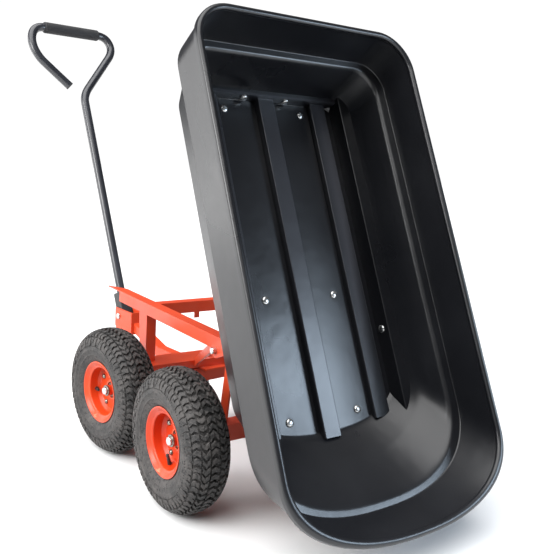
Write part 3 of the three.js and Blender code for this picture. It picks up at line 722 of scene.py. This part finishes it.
def build_tub_bolts():
    """Bolts through the floor, through the benches at the hinge and through the front step."""
    place = tub_frame() @ Matrix.Scale(MM, 4)
    upright = Matrix.Rotation(math.pi / 2, 4, "X")
    backwards = Matrix.Rotation(math.pi / 2, 4, "Z")
    index = 0
    for x, across in FLOOR_BOLTS:
        for y in (across, -across):
            index += 1
            spot = Matrix.Translation((x, y, -FLOOR_DEPTH - 0.4))
            add_tub_bolt(f"floor_bolt_{index}", place @ spot @ upright, f"tub_bolt_{index}")
    for side, word in ((1, "left"), (-1, "right")):
        spot = Matrix.Translation((BENCH_BOLT[0], side * BENCH_INNER, BENCH_BOLT[1]))
        inwards = Matrix.Rotation(math.pi if side > 0 else 0, 4, "Z")
        add_tub_bolt(f"wall_bolt_{word}", place @ spot @ inwards, f"bench_bolt_{word}")
        spot = Matrix.Translation((STEP_REAR, side * STEP_BOLT[0], STEP_BOLT[1]))
        add_tub_bolt(f"step_bolt_{word}", place @ spot @ backwards)


build_tub()
build_tub_bolts()


# ---------------------------------------------------------------- wheels

# Sizes in millimetres; y runs out of the wheel's outer face.
TYRE_RADIUS = 130
TYRE_HALF_WIDTH = 42
CROWN_CENTRE = 94  # radius of the widest part of the tyre
RIM_SEAT = 52  # where the tyre's foot meets the rim
HUB_RADIUS = 17
AXLE_BORE = 8.3
RIM_BOLT_CIRCLE = 38
RIM_BOLT_ANGLE = 58
VALVE_FOOT = 47.8  # distance from the axle
VALVE_LEAN = 70
VALVE_TURN = {"rear_left": -10, "rear_right": -10, "front_left": -78, "front_right": -78}
FULLNESS = 2.3  # of the tyre's section: 2 is an ellipse, more is squarer
TREAD_BLOCKS = 58  # blocks round the tyre in every row
CROWN_ROWS = (
    # middle and half width across the tread (share of crown to widest line), gap, swing, stagger
    (0.0, 0.09, 0.34, 0.5, 0),
    (0.235, 0.1, 0.38, -0.5, 0.4),
    (-0.235, 0.1, 0.38, -0.5, 0.6),
)
SHOULDER_ROWS = ((0.39, 0.61), (0.67, 0.95), (0.67, 0.84))  # inner and outer end of the lugs
LUG_DEPTH = 5.6


def tyre_section(share, height):
    """(radius, y) across the tyre: 0 on the crown, 1 and -1 on the widest lines."""
    angle = abs(share) * math.pi / 2
    rise = TYRE_RADIUS - CROWN_CENTRE - height
    half = TYRE_HALF_WIDTH - height * 0.35
    radius = CROWN_CENTRE + rise * max(math.cos(angle), 0) ** (2 / FULLNESS)
    y = half * math.sin(angle) ** (2 / FULLNESS)
    return radius, math.copysign(y, share)


def tyre_point(turn, share, height):
    radius, y = tyre_section(share, height)
    return Vector((radius * math.sin(turn), y, radius * math.cos(turn)))


def tread_block(bm, shares, middle, half_turn, depth=LUG_DEPTH, taper=0.08):
    """One block: a strip across the tread with a middle line given at each share."""
    rings = []
    for share, turn in zip(shares, middle):
        wide = half_turn * (1 + taper)
        rings.append(
            (
                tyre_point(turn - wide, share, depth),
                tyre_point(turn - half_turn, share, 0.7),
                tyre_point(turn - half_turn * 0.86, share, 0),
                tyre_point(turn + half_turn * 0.86, share, 0),
                tyre_point(turn + half_turn, share, 0.7),
                tyre_point(turn + wide, share, depth),
            )
        )
    close_ends(bm, skin(bm, rings))


def tread_row(bm, middle, half, gap, swing, start, taper=0.1):
    """One row of chevron blocks round the tyre, each a little different from the next."""
    pitch = 2 * math.pi / TREAD_BLOCKS
    shares = [middle - half + 2 * half * k / 4 for k in range(5)]
    for n in range(TREAD_BLOCKS):
        here = pitch * (n + start + random.uniform(-0.07, 0.07))
        reach = swing * random.uniform(0.5, 1.25)
        line = [here + pitch * reach * share for share in (0, 0.5, 1, 0.5, 0)]
        width = pitch * (1 - gap) / 2 * random.uniform(0.8, 1.08)
        tread_block(bm, shares, line, width, taper=taper)


def tread(bm):
    """Chevron blocks along the crown, and long and short lugs that wrap round the shoulders."""
    for middle, half, gap, swing, start in CROWN_ROWS:
        tread_row(bm, middle, half, gap, swing, start)
    pitch = 2 * math.pi / TREAD_BLOCKS
    for side in (1, -1):
        inner, outer = SHOULDER_ROWS[0]
        middle = side * (inner + outer) / 2
        tread_row(bm, middle, (outer - inner) / 2, 0.3, 0.3 * side, 0.2)
        for n in range(TREAD_BLOCKS):
            inner, outer = SHOULDER_ROWS[1 + n % 2]
            shares = [side * (inner + (outer - inner) * k / 5) for k in range(6)]
            here = pitch * (n + 0.7 + random.uniform(-0.04, 0.04))
            width = pitch * 0.34 * random.uniform(0.9, 1.1)
            line = [here + pitch * 0.12 * math.sin(math.pi * k / 5) for k in range(6)]
            tread_block(bm, shares, line, width, taper=0.12)
        for n in range(2 * TREAD_BLOCKS):
            share = side * 0.972
            here = pitch * n / 2
            tread_block(bm, [share - 0.008, share + 0.008], [here, here], pitch * 0.05)


def carcass_profile():
    """Closed outline of the tyre without its blocks."""
    outer = []
    for k in range(-20, 21):
        share = k / 20
        outer.append(tyre_section(share, LUG_DEPTH - 1.5 * abs(share) ** 3))
    wall = outer[-1][1]
    side = [
        (92, wall + 0.1),
        (89, wall + 0.6),
        (87.6, wall + 0.6),
        (86.8, wall - 0.3),
        (80, wall - 1.6),
        (78.6, wall - 1.1),
        (77.4, wall - 1.2),
        (76.6, wall - 2.4),
        (70, wall - 4.6),
        (66.5, wall - 6.6),
        (64.8, wall - 8.6),
        (62, wall - 9.4),
        (56, wall - 12),
        (RIM_SEAT + 0.6, wall - 15),
        (RIM_SEAT + 0.6, wall - 24),
    ]
    inside = [(76, 30), (92, 34), (106, 32), (116, 24), (118, 8)]
    half = side + inside
    mirrored = [(r, -y) for r, y in reversed(half)]
    return mirrored + outer + half


def rim_profile():
    """Half section of a pressed rim half: web, dish, seat and rolled flange, then back inside."""
    outline = [
        (17.3, 0.15, 0),
        (44.5, 0.15, 5),
        (51.8, 8.5, 4),
        (51.8, 24.5, 5),
        (58, 27, 5),
        (62.6, 32, 3),
        (63.9, 34, 1.2),
        (61.4, 34.4, 1.2),
        (59.5, 33, 3),
        (54, 28.8, 5),
        (49.2, 27, 4),
        (49.2, 10, 5),
        (43.4, 2.7, 5),
        (23, 2.7, 2),
        (22, 4.6, 1.5),
        (17.3, 4.6, 0),
    ]
    return rounded(outline, closed=True)


def hub_profile():
    """Closed half section of the bearing: sleeve, race, seal and inner ring."""
    return rounded(
        [
            (AXLE_BORE, -45, 0),
            (16, -45, 1),
            (HUB_RADIUS, -43.5, 0.8),
            (HUB_RADIUS, 1.6, 0.6),
            (14.2, 2.6, 0.3),
            (13.8, 4, 0.4),
            (12, 4, 0.3),
            (11.8, 2.4, 0.2),
            (10.9, 2.4, 0.2),
            (10.7, 3.8, 0.3),
            (AXLE_BORE, 3.8, 0),
        ],
        closed=True,
    )


def ring_profile(outer, low, high, edge):
    """Ring on the axle between two heights, with rounded outer edges."""
    return rounded(
        [(AXLE_BORE, low, 0), (outer, low, edge), (outer, high, edge), (AXLE_BORE, high, 0)],
        closed=True,
    )


def rim_bolts(bm):
    """Four domed bolts through the web with their nuts behind."""
    lying = Matrix.Rotation(math.pi / 2, 4, "X")
    dome = [(0.3, 4.6), (2.4, 4.3), (4.2, 3.3), (5.3, 1.7), (5.6, 0.4), (5.6, -0.1)]
    shank = [(3, -0.1), (3, -9), (0.3, -9)]
    for k in range(4):
        turn = Matrix.Rotation(math.radians(RIM_BOLT_ANGLE + 90 * k), 4, "Y")
        seat = turn @ Matrix.Translation((0, 2.7, RIM_BOLT_CIRCLE))
        add_part(bm, lambda part: capped_lathe(part, dome + shank, 20), seat)
        nut = turn @ Matrix.Translation((0, -5.4, RIM_BOLT_CIRCLE)) @ lying
        bmesh.ops.create_cone(
            bm, cap_ends=True, segments=6, radius1=5.5, radius2=5.5, depth=5, matrix=nut
        )


def valve_profile():
    """Open outline of the rubber stem, its neck and its cap."""
    return [
        (0.3, 0),
        (4.2, 0.2),
        (3.9, 3),
        (3.3, 5),
        (3.2, 11),
        (2.4, 12),
        (2.4, 13.5),
        (3, 14),
        (3, 21),
        (2.2, 22),
        (0.3, 22.2),
    ]


def turned(name, profile, sides, material, place, angle):
    """A new smooth piece turned from a closed outline."""
    return smooth(new_piece(name, lambda bm: lathe(bm, profile, sides), material, place), angle)


def build_wheel(word, valve_turn):
    """Tyre, tread, two rim halves, bearing, spacer, rim bolts, valve and the cap on the axle."""
    axle, hand = word.split("_")
    joint = JOINTS[f"wheel_spin_{word}"]
    place = turned_frame(joint, flip=hand == "right") @ Matrix.Scale(MM, 4)
    body = f"wheel_{word}"

    carcass = turned(f"carcass_{word}", carcass_profile(), 120, RUBBER, place, 50)
    finish_piece(carcass, body, "tyre_rubber", f"tyre_{word}")
    blocks = new_piece(f"tread_{word}", tread, RUBBER, place)
    smooth(blocks, 30)
    finish_piece(blocks, body, "tyre_rubber")

    outer = turned(f"rim_front_{word}", rim_profile(), 96, RIM_PAINT, place, 40)
    finish_piece(outer, body, "rim_paint", f"rim_outer_{word}")
    back = place @ Matrix.Rotation(math.pi, 4, "Z")
    inner = turned(f"rim_back_{word}", rim_profile(), 96, RIM_PAINT, back, 40)
    finish_piece(inner, body, "rim_paint", f"rim_inner_{word}")

    bearing = turned(f"bearing_{word}", hub_profile(), 48, WHEEL_ZINC, place, 35)
    finish_piece(bearing, body, "zinc_plate", f"hub_{word}")
    spacer = turned(f"spacer_{word}", ring_profile(10.5, 4, 13, 0.5), 36, PAINT, place, 35)
    finish_piece(spacer, body, "frame_paint")
    bolts = new_piece(f"rim_bolts_{word}", rim_bolts, WHEEL_ZINC, place)
    smooth(bolts, 35)
    finish_piece(bolts, body, "zinc_plate")

    lean = Matrix.Rotation(math.radians(VALVE_LEAN), 4, "X")
    foot = Matrix.Translation((0, 12, -VALVE_FOOT))
    stem_place = place @ Matrix.Rotation(math.radians(valve_turn), 4, "Y") @ foot @ lean
    profile = valve_profile()
    name = f"valve_stem_{word}"
    stem = new_piece(name, lambda bm: capped_lathe(bm, profile, 20), MOULDING, stem_place)
    smooth(stem, 40)
    finish_piece(stem, body, "black_moulding", f"valve_{word}")

    carrier = "chassis" if axle == "rear" else "front_axle"
    cap = turned(f"end_cap_{word}", ring_profile(11.5, 13.3, 17.3, 1), 36, WHEEL_ZINC, place, 35)
    finish_piece(cap, carrier, "zinc_plate", f"axle_cap_{word}")


for wheel, turn in VALVE_TURN.items():
    build_wheel(wheel, turn)


# ---------------------------------------------------------------- steel frame

FRAME_STEEL = {
    "chassis": (
        "side_rail_left",
        "side_rail_right",
        "front_leg_left",
        "front_leg_right",
        "rear_leg_left",
        "rear_leg_right",
        "brace_left",
        "brace_right",
        "front_cross_member",
        "rear_cross_member",
        "bolster",
        "rear_axle_beam",
    ),
    "front_axle": ("front_axle_beam", "drawbar", "handle_bracket"),
    "tub_body": (
        "tub_bed_rail_left",
        "tub_bed_rail_right",
        "tub_hinge_plate_left",
        "tub_hinge_plate_right",
    ),
}


def paint_frame():
    """Folded and cut steel keeps its shape from the CAD part, with softened edges and paint."""
    for names in FRAME_STEEL.values():
        for name in names:
            node = NODES[name]
            node.data.materials.clear()
            node.data.materials.append(PAINT)
            bevelled(node, 0.0008, segments=2)


def weld_bead(name, body, start, end, radius=0.0022):
    """A rippled bead of weld under the paint between two points."""
    start, end = Vector(start), Vector(end)
    count = max(int((end - start).length / (radius * 0.7)), 2)

    def build(bm):
        for k in range(count + 1):
            jitter = Vector([random.uniform(-0.12, 0.12) * radius for _ in range(3)])
            centre = start.lerp(end, k / count) + jitter
            size = radius * random.uniform(0.85, 1.1)
            matrix = Matrix.Translation(centre)
            bmesh.ops.create_icosphere(bm, subdivisions=2, radius=size, matrix=matrix)

    bead = new_piece(name, build, PAINT)
    bead.data.shade_smooth()
    return finish_piece(bead, body, "frame_paint")


def weld_frame():
    """Beads where the legs, cross members and braces meet the rails, beams and bolster."""
    rail_low, rail_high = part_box("side_rail_left")
    beam_low, beam_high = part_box("rear_axle_beam")
    bolster_low, bolster_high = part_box("bolster")
    face = rail_high.y - 0.003
    for side, word in ((1, "left"), (-1, "right")):
        leg_low, leg_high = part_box(f"rear_leg_{word}")
        y = side * (face + 0.0005)
        foot = beam_high.z
        ends = ((leg_low.x + 0.015, y, foot), (leg_high.x + 0.002, y, foot))
        weld_bead(f"weld_rear_foot_{word}", "chassis", *ends)
        low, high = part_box(f"front_leg_{word}")
        y = side * (face - 0.0005)
        top = bolster_high.z
        weld_bead(f"weld_front_foot_{word}", "chassis", (low.x, y, top), (high.x - 0.01, y, top))
        for member in ("front_cross_member", "rear_cross_member"):
            low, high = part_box(member)
            y = side * high.y
            z = high.z - 0.0035
            weld_bead(f"weld_{member}_{word}", "chassis", (low.x, y, z - 0.02), (low.x, y, z))
        low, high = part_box(f"brace_{word}")
        y = side * (abs(low.y if side < 0 else high.y) - 0.002)
        spot = (low.x + 0.004, y, high.z - 0.004)
        weld_bead(f"weld_brace_{word}", "chassis", spot, (low.x + 0.002, y, high.z - 0.02))


def rod(name, body, node, start, end, radius):
    """A round zinc-plated bar with chamfered ends between two points, standing for a CAD node."""
    start, end = Vector(start), Vector(end)
    ahead = (end - start).normalized()
    length = (end - start).length
    bevel = radius * 0.15
    profile = [(radius * 0.02, 0), (radius - bevel, 0), (radius, bevel)]
    profile += [(radius, length - bevel), (radius - bevel, length), (radius * 0.02, length)]
    turn = Vector((0, 1, 0)).rotation_difference(ahead).to_matrix().to_4x4()
    place = Matrix.Translation(start) @ turn
    piece = new_piece(name, lambda bm: capped_lathe(bm, profile, 32), ZINC, place)
    smooth(piece, 35)
    return finish_piece(piece, body, "zinc_plate", node)


SHAFT_RADIUS = 8 * MM
SHAFT_END = 22 * MM  # past the middle of each wheel
HINGE_ROD_RADIUS = 6 * MM


def build_shafts():
    """Wheel shafts and the tub's hinge rod."""
    for axle, body in (("rear", "chassis"), ("front", "front_axle")):
        left = Vector(JOINTS[f"wheel_spin_{axle}_left"]["pos_m"])
        right = Vector(JOINTS[f"wheel_spin_{axle}_right"]["pos_m"])
        outward = (left - right).normalized() * SHAFT_END
        ends = (right - outward, left + outward)
        rod(f"{axle}_axle_bar", body, f"{axle}_shaft", *ends, SHAFT_RADIUS)
    pivot = Vector(TUB_HINGE["pos_m"])
    reach = Vector((0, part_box("tub_hinge_rod")[1].y, 0))
    rod("hinge_bar", "chassis", "tub_hinge_rod", pivot - reach, pivot + reach, HINGE_ROD_RADIUS)


KINGPIN_RADIUS = 0.006
KINGPIN_HEAD_RADIUS = 0.01
KINGPIN_HEAD = 0.008  # height of the head and of the nut


def upright_bar(bm, middle, radius, height, sides):
    """An upright bar with flat ends round a middle point."""
    place = Matrix.Translation(middle)
    bmesh.ops.create_cone(
        bm,
        cap_ends=True,
        segments=sides,
        radius1=radius,
        radius2=radius,
        depth=height,
        matrix=place,
    )


def kingpin(bm):
    """Hexagon head over the bolster and a nut under the beam, joined by the shank."""
    low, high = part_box("kingpin")
    middle = (low + high) / 2
    for z in (high.z - KINGPIN_HEAD / 2, low.z + KINGPIN_HEAD / 2):
        upright_bar(bm, (middle.x, middle.y, z), KINGPIN_HEAD_RADIUS, KINGPIN_HEAD, 6)
    upright_bar(bm, middle, KINGPIN_RADIUS, high.z - low.z - KINGPIN_HEAD, 24)


# ---------------------------------------------------------------- pull handle

# Sizes in millimetres; z runs up the tube from the hinge, y across the loop.
HANDLE_LENGTH = 630  # hinge to the neck where the loop begins
HANDLE_RADIUS = 10.9
GRIP_RADIUS = 14.8
GRIP_HALF_LENGTH = 80
GRIP_MIDDLE = 2
LOOP_HEIGHT = 182
LOOP_HALF_WIDTH = 115
FORK_RADIUS = 17
FORK_HALF_WIDTH = 15.7
FORK_TOP = 62


def bezier(a, corner, b, steps=10):
    """Points (y, z) on a curve from a to b that leans towards a corner, without b itself."""
    points = []
    for k in range(steps):
        t = k / steps
        y = a[0] * (1 - t) ** 2 + 2 * corner[0] * t * (1 - t) + b[0] * t**2
        z = a[1] * (1 - t) ** 2 + 2 * corner[1] * t * (1 - t) + b[1] * t**2
        points.append((y, z))
    return points


def handle_line():
    """Centre line of the handle tube as (0, y, z) points: up, out, round the loop, open end."""
    neck = HANDLE_LENGTH
    top = neck + LOOP_HEIGHT
    wide = LOOP_HALF_WIDTH
    line = [(0, 24), (0, neck * 0.3), (0, neck * 0.6), (0, neck * 0.8)]
    line += bezier((0, neck - 30), (0, neck - 8), (-18, neck + 14))
    line += bezier((-18, neck + 14), (-58, neck + 63), (-98, neck + 112), 4)
    line += bezier((-98, neck + 112), (-wide, neck + 133), (1 - wide, neck + 150))
    line += bezier((1 - wide, neck + 150), (4 - wide, top), (38 - wide, top), 14)
    line += bezier((38 - wide, top), (0, top), (wide - 34, top), 6)
    line += bezier((wide - 34, top), (wide + 4, top), (wide + 8, neck + 138), 14)
    line += bezier((wide + 8, neck + 138), (wide + 9, neck + 108), (wide - 12, neck + 82), 10)
    line += bezier((wide - 12, neck + 82), (70, neck + 48), (38, neck + 16), 5)
    line.append((38, neck + 16))
    return [(0, y, z) for y, z in line]


def grip_sleeve(bm):
    """Smooth sleeve with rounded ends and one shallow ring near each of them."""
    half = GRIP_HALF_LENGTH
    inner = HANDLE_RADIUS + 0.1
    outline = [(inner, -half, 0), (13.6, -half, 1.5), (GRIP_RADIUS, -half + 3, 1)]
    for y in (6 - half, half - 6):
        outline += [(GRIP_RADIUS, y - 1, 0.3), (GRIP_RADIUS - 0.6, y, 0.3)]
        outline += [(GRIP_RADIUS, y + 1, 0.3)]
    outline += [(GRIP_RADIUS, half - 3, 1), (13.6, half, 1.5), (inner, half, 0)]
    lathe(bm, rounded(outline, closed=True), 40)


def fork_body(bm):
    """Moulded socket: round at the pin, a waist and a collar round the tube."""
    outline = []
    for k in range(25):
        angle = math.pi + math.pi * k / 24
        outline.append((FORK_RADIUS * math.cos(angle), FORK_RADIUS * math.sin(angle)))
    outline += [(15.4, 30), (15, FORK_TOP), (-15, FORK_TOP), (-15.4, 30)]
    low = [(x, -FORK_HALF_WIDTH, z) for x, z in outline]
    high = [(x, FORK_HALF_WIDTH, z) for x, z in outline]
    close_ends(bm, skin(bm, [low, high]))


def build_handle():
    """Tube with its plug, grip sleeve, fork and the pin it hinges on."""
    place = handle_frame() @ Matrix.Scale(MM, 4)
    line = handle_line()
    tube = new_piece("pull_tube", lambda bm: sweep(bm, line, HANDLE_RADIUS, 32), HANDLE, place)
    smooth(tube, 50)
    finish_piece(tube, "pull_handle", "handle_paint", "handle_tube")

    end = Vector(line[-1])
    back = (Vector(line[-2]) - end).normalized()
    plug_line = [end + back * 2, end - back * 0.5, end - back * 2.5]
    plug = new_piece("tube_plug", lambda bm: sweep(bm, plug_line, 11.2, 32), MOULDING, place)
    bevelled(plug, 0.001, 3)
    finish_piece(plug, "pull_handle", "black_moulding")

    middle = Matrix.Translation((0, GRIP_MIDDLE, HANDLE_LENGTH + LOOP_HEIGHT))
    sleeve = new_piece("grip_sleeve", grip_sleeve, GRIP, place @ middle)
    smooth(sleeve, 30)
    finish_piece(sleeve, "pull_handle", "grip_rubber", "handle_grip")

    fork = new_piece("fork_socket", fork_body, MOULDING, place)
    bevelled(fork, 0.003, 4, angle=50)
    finish_piece(fork, "pull_handle", "black_moulding", "handle_fork")

    pin_place = turned_frame(JOINTS["handle_hinge"]) @ Matrix.Scale(MM, 4)
    pin_profile = rounded(
        [
            (0.3, 25.6, 0),
            (4, 25.4, 1),
            (7.6, 23.6, 1.5),
            (8, 20.2, 0.4),
            (5, 20.2, 0),
            (5, -20.2, 0),
            (8, -20.2, 0.4),
            (8, -23.4, 0.8),
            (0.3, -24, 0),
        ]
    )
    pin = new_piece("hinge_pin", lambda bm: capped_lathe(bm, pin_profile, 32), ZINC, pin_place)
    smooth(pin, 40)
    finish_piece(pin, "front_axle", "zinc_plate", "handle_pin")


paint_frame()
weld_frame()
build_shafts()
king = bevelled(new_piece("king_bolt", kingpin, ZINC), 0.0006)
finish_piece(king, "chassis", "zinc_plate", "kingpin")
build_handle()


# ---------------------------------------------------------------- studio


def build_floor():
    """Pale floor that throws little light back up, so that the undersides keep their depth."""
    s = Shader("studio_floor")
    tone = s.remap(s.noise(2, 2), 0.3, 0.7, 0, 1)
    pale = s.mix(tone, (0.9, 0.9, 0.9), (0.93, 0.93, 0.93))
    bounced = s.node("ShaderNodeLightPath").outputs["Is Diffuse Ray"]
    colour = s.mix(bounced, pale, (0.22, 0.22, 0.22))
    material = s.set(Base_Color=colour, Roughness=0.8)

    def plane(bm):
        bmesh.ops.create_grid(bm, x_segments=1, y_segments=1, size=12)

    floor = new_piece("studio_floor", plane, material, Matrix.Translation((0, 0, -0.0005)))


def build_world():
    """White surroundings: full white behind the object, dimmer as a source of light."""
    world = bpy.data.worlds.new("studio")
    world.use_nodes = True
    nodes, links = world.node_tree.nodes, world.node_tree.links
    background = nodes["Background"]
    background.inputs["Color"].default_value = (1, 1, 1, 1)
    path = nodes.new("ShaderNodeLightPath")
    strength = nodes.new("ShaderNodeMapRange")
    strength.inputs["To Min"].default_value = WORLD_LIGHT
    strength.inputs["To Max"].default_value = 1.05
    links.new(path.outputs["Is Camera Ray"], strength.inputs["Value"])
    links.new(strength.outputs["Result"], background.inputs["Strength"])
    bpy.context.scene.world = world


def sun(name, direction, strength, spread):
    """Even light from one side, soft-edged by its spread in degrees."""
    data = bpy.data.lights.new(name, "SUN")
    data.energy = strength
    data.angle = math.radians(spread)
    light = bpy.data.objects.new(name, data)
    light.rotation_euler = Vector(direction).to_track_quat("-Z", "Y").to_euler()
    bpy.context.scene.collection.objects.link(light)


def soft_box(name, place, target, size, power, colour=(1, 1, 1)):
    """Rectangular studio light aimed at a point."""
    data = bpy.data.lights.new(name, "AREA")
    data.color = colour
    data.shape = "RECTANGLE"
    data.size, data.size_y = size
    data.energy = power
    light = bpy.data.objects.new(name, data)
    light.location = place
    aim = Vector(target) - Vector(place)
    light.rotation_euler = aim.to_track_quat("-Z", "Y").to_euler()
    bpy.context.scene.collection.objects.link(light)


WORLD_LIGHT = 0.12  # strength of the surroundings as a source of light
COOL = (0.68, 0.83, 1)
CAMERA_PLACE = Vector((-1.4256, 0.8476, 0.6573))  # fitted to the photo, as are its angles
CAMERA_YAW, CAMERA_PITCH, CAMERA_ROLL = (math.radians(a) for a in (-36.1, -10.2, 3.7))
CAMERA_LENS = 48.2


def build_camera():
    """Camera behind the cart and to its left, below the top of the tipped tub, aimed down."""
    ahead = Vector(
        (
            math.cos(CAMERA_YAW) * math.cos(CAMERA_PITCH),
            math.sin(CAMERA_YAW) * math.cos(CAMERA_PITCH),
            math.sin(CAMERA_PITCH),
        )
    )
    level = ahead.cross(Vector((0, 0, 1))).normalized()
    upright = level.cross(ahead)
    c, s = math.cos(CAMERA_ROLL), math.sin(CAMERA_ROLL)
    right = level * c + upright * s
    up = upright * c - level * s
    data = bpy.data.cameras.new("camera")
    data.lens = CAMERA_LENS
    data.sensor_width = 36
    camera = bpy.data.objects.new("camera", data)
    basis = Matrix((right, up, -ahead)).transposed().to_4x4()
    camera.matrix_world = Matrix.Translation(CAMERA_PLACE) @ basis
    bpy.context.scene.collection.objects.link(camera)
    bpy.context.scene.camera = camera


build_floor()
build_world()
sun("sky", (0.1, -0.35, -1), 4.6, 76)
# Soft boxes: place, target and size in metres, power in watts.
soft_box("side", (-0.1, 2.9, 1.5), (0, 0.2, 0.3), (1.8, 1.4), 84)
soft_box("wall", (2.6, 2.3, 0.9), (0, 0.2, 0.5), (2.2, 1.8), 38)
soft_box("floor_sheen", (-1.96, -1.36, 0.93), (-0.4, 0, 0.2), (0.8, 0.75), 26, COOL)
build_camera()
bpy.context.scene.view_settings.view_transform = "Standard"
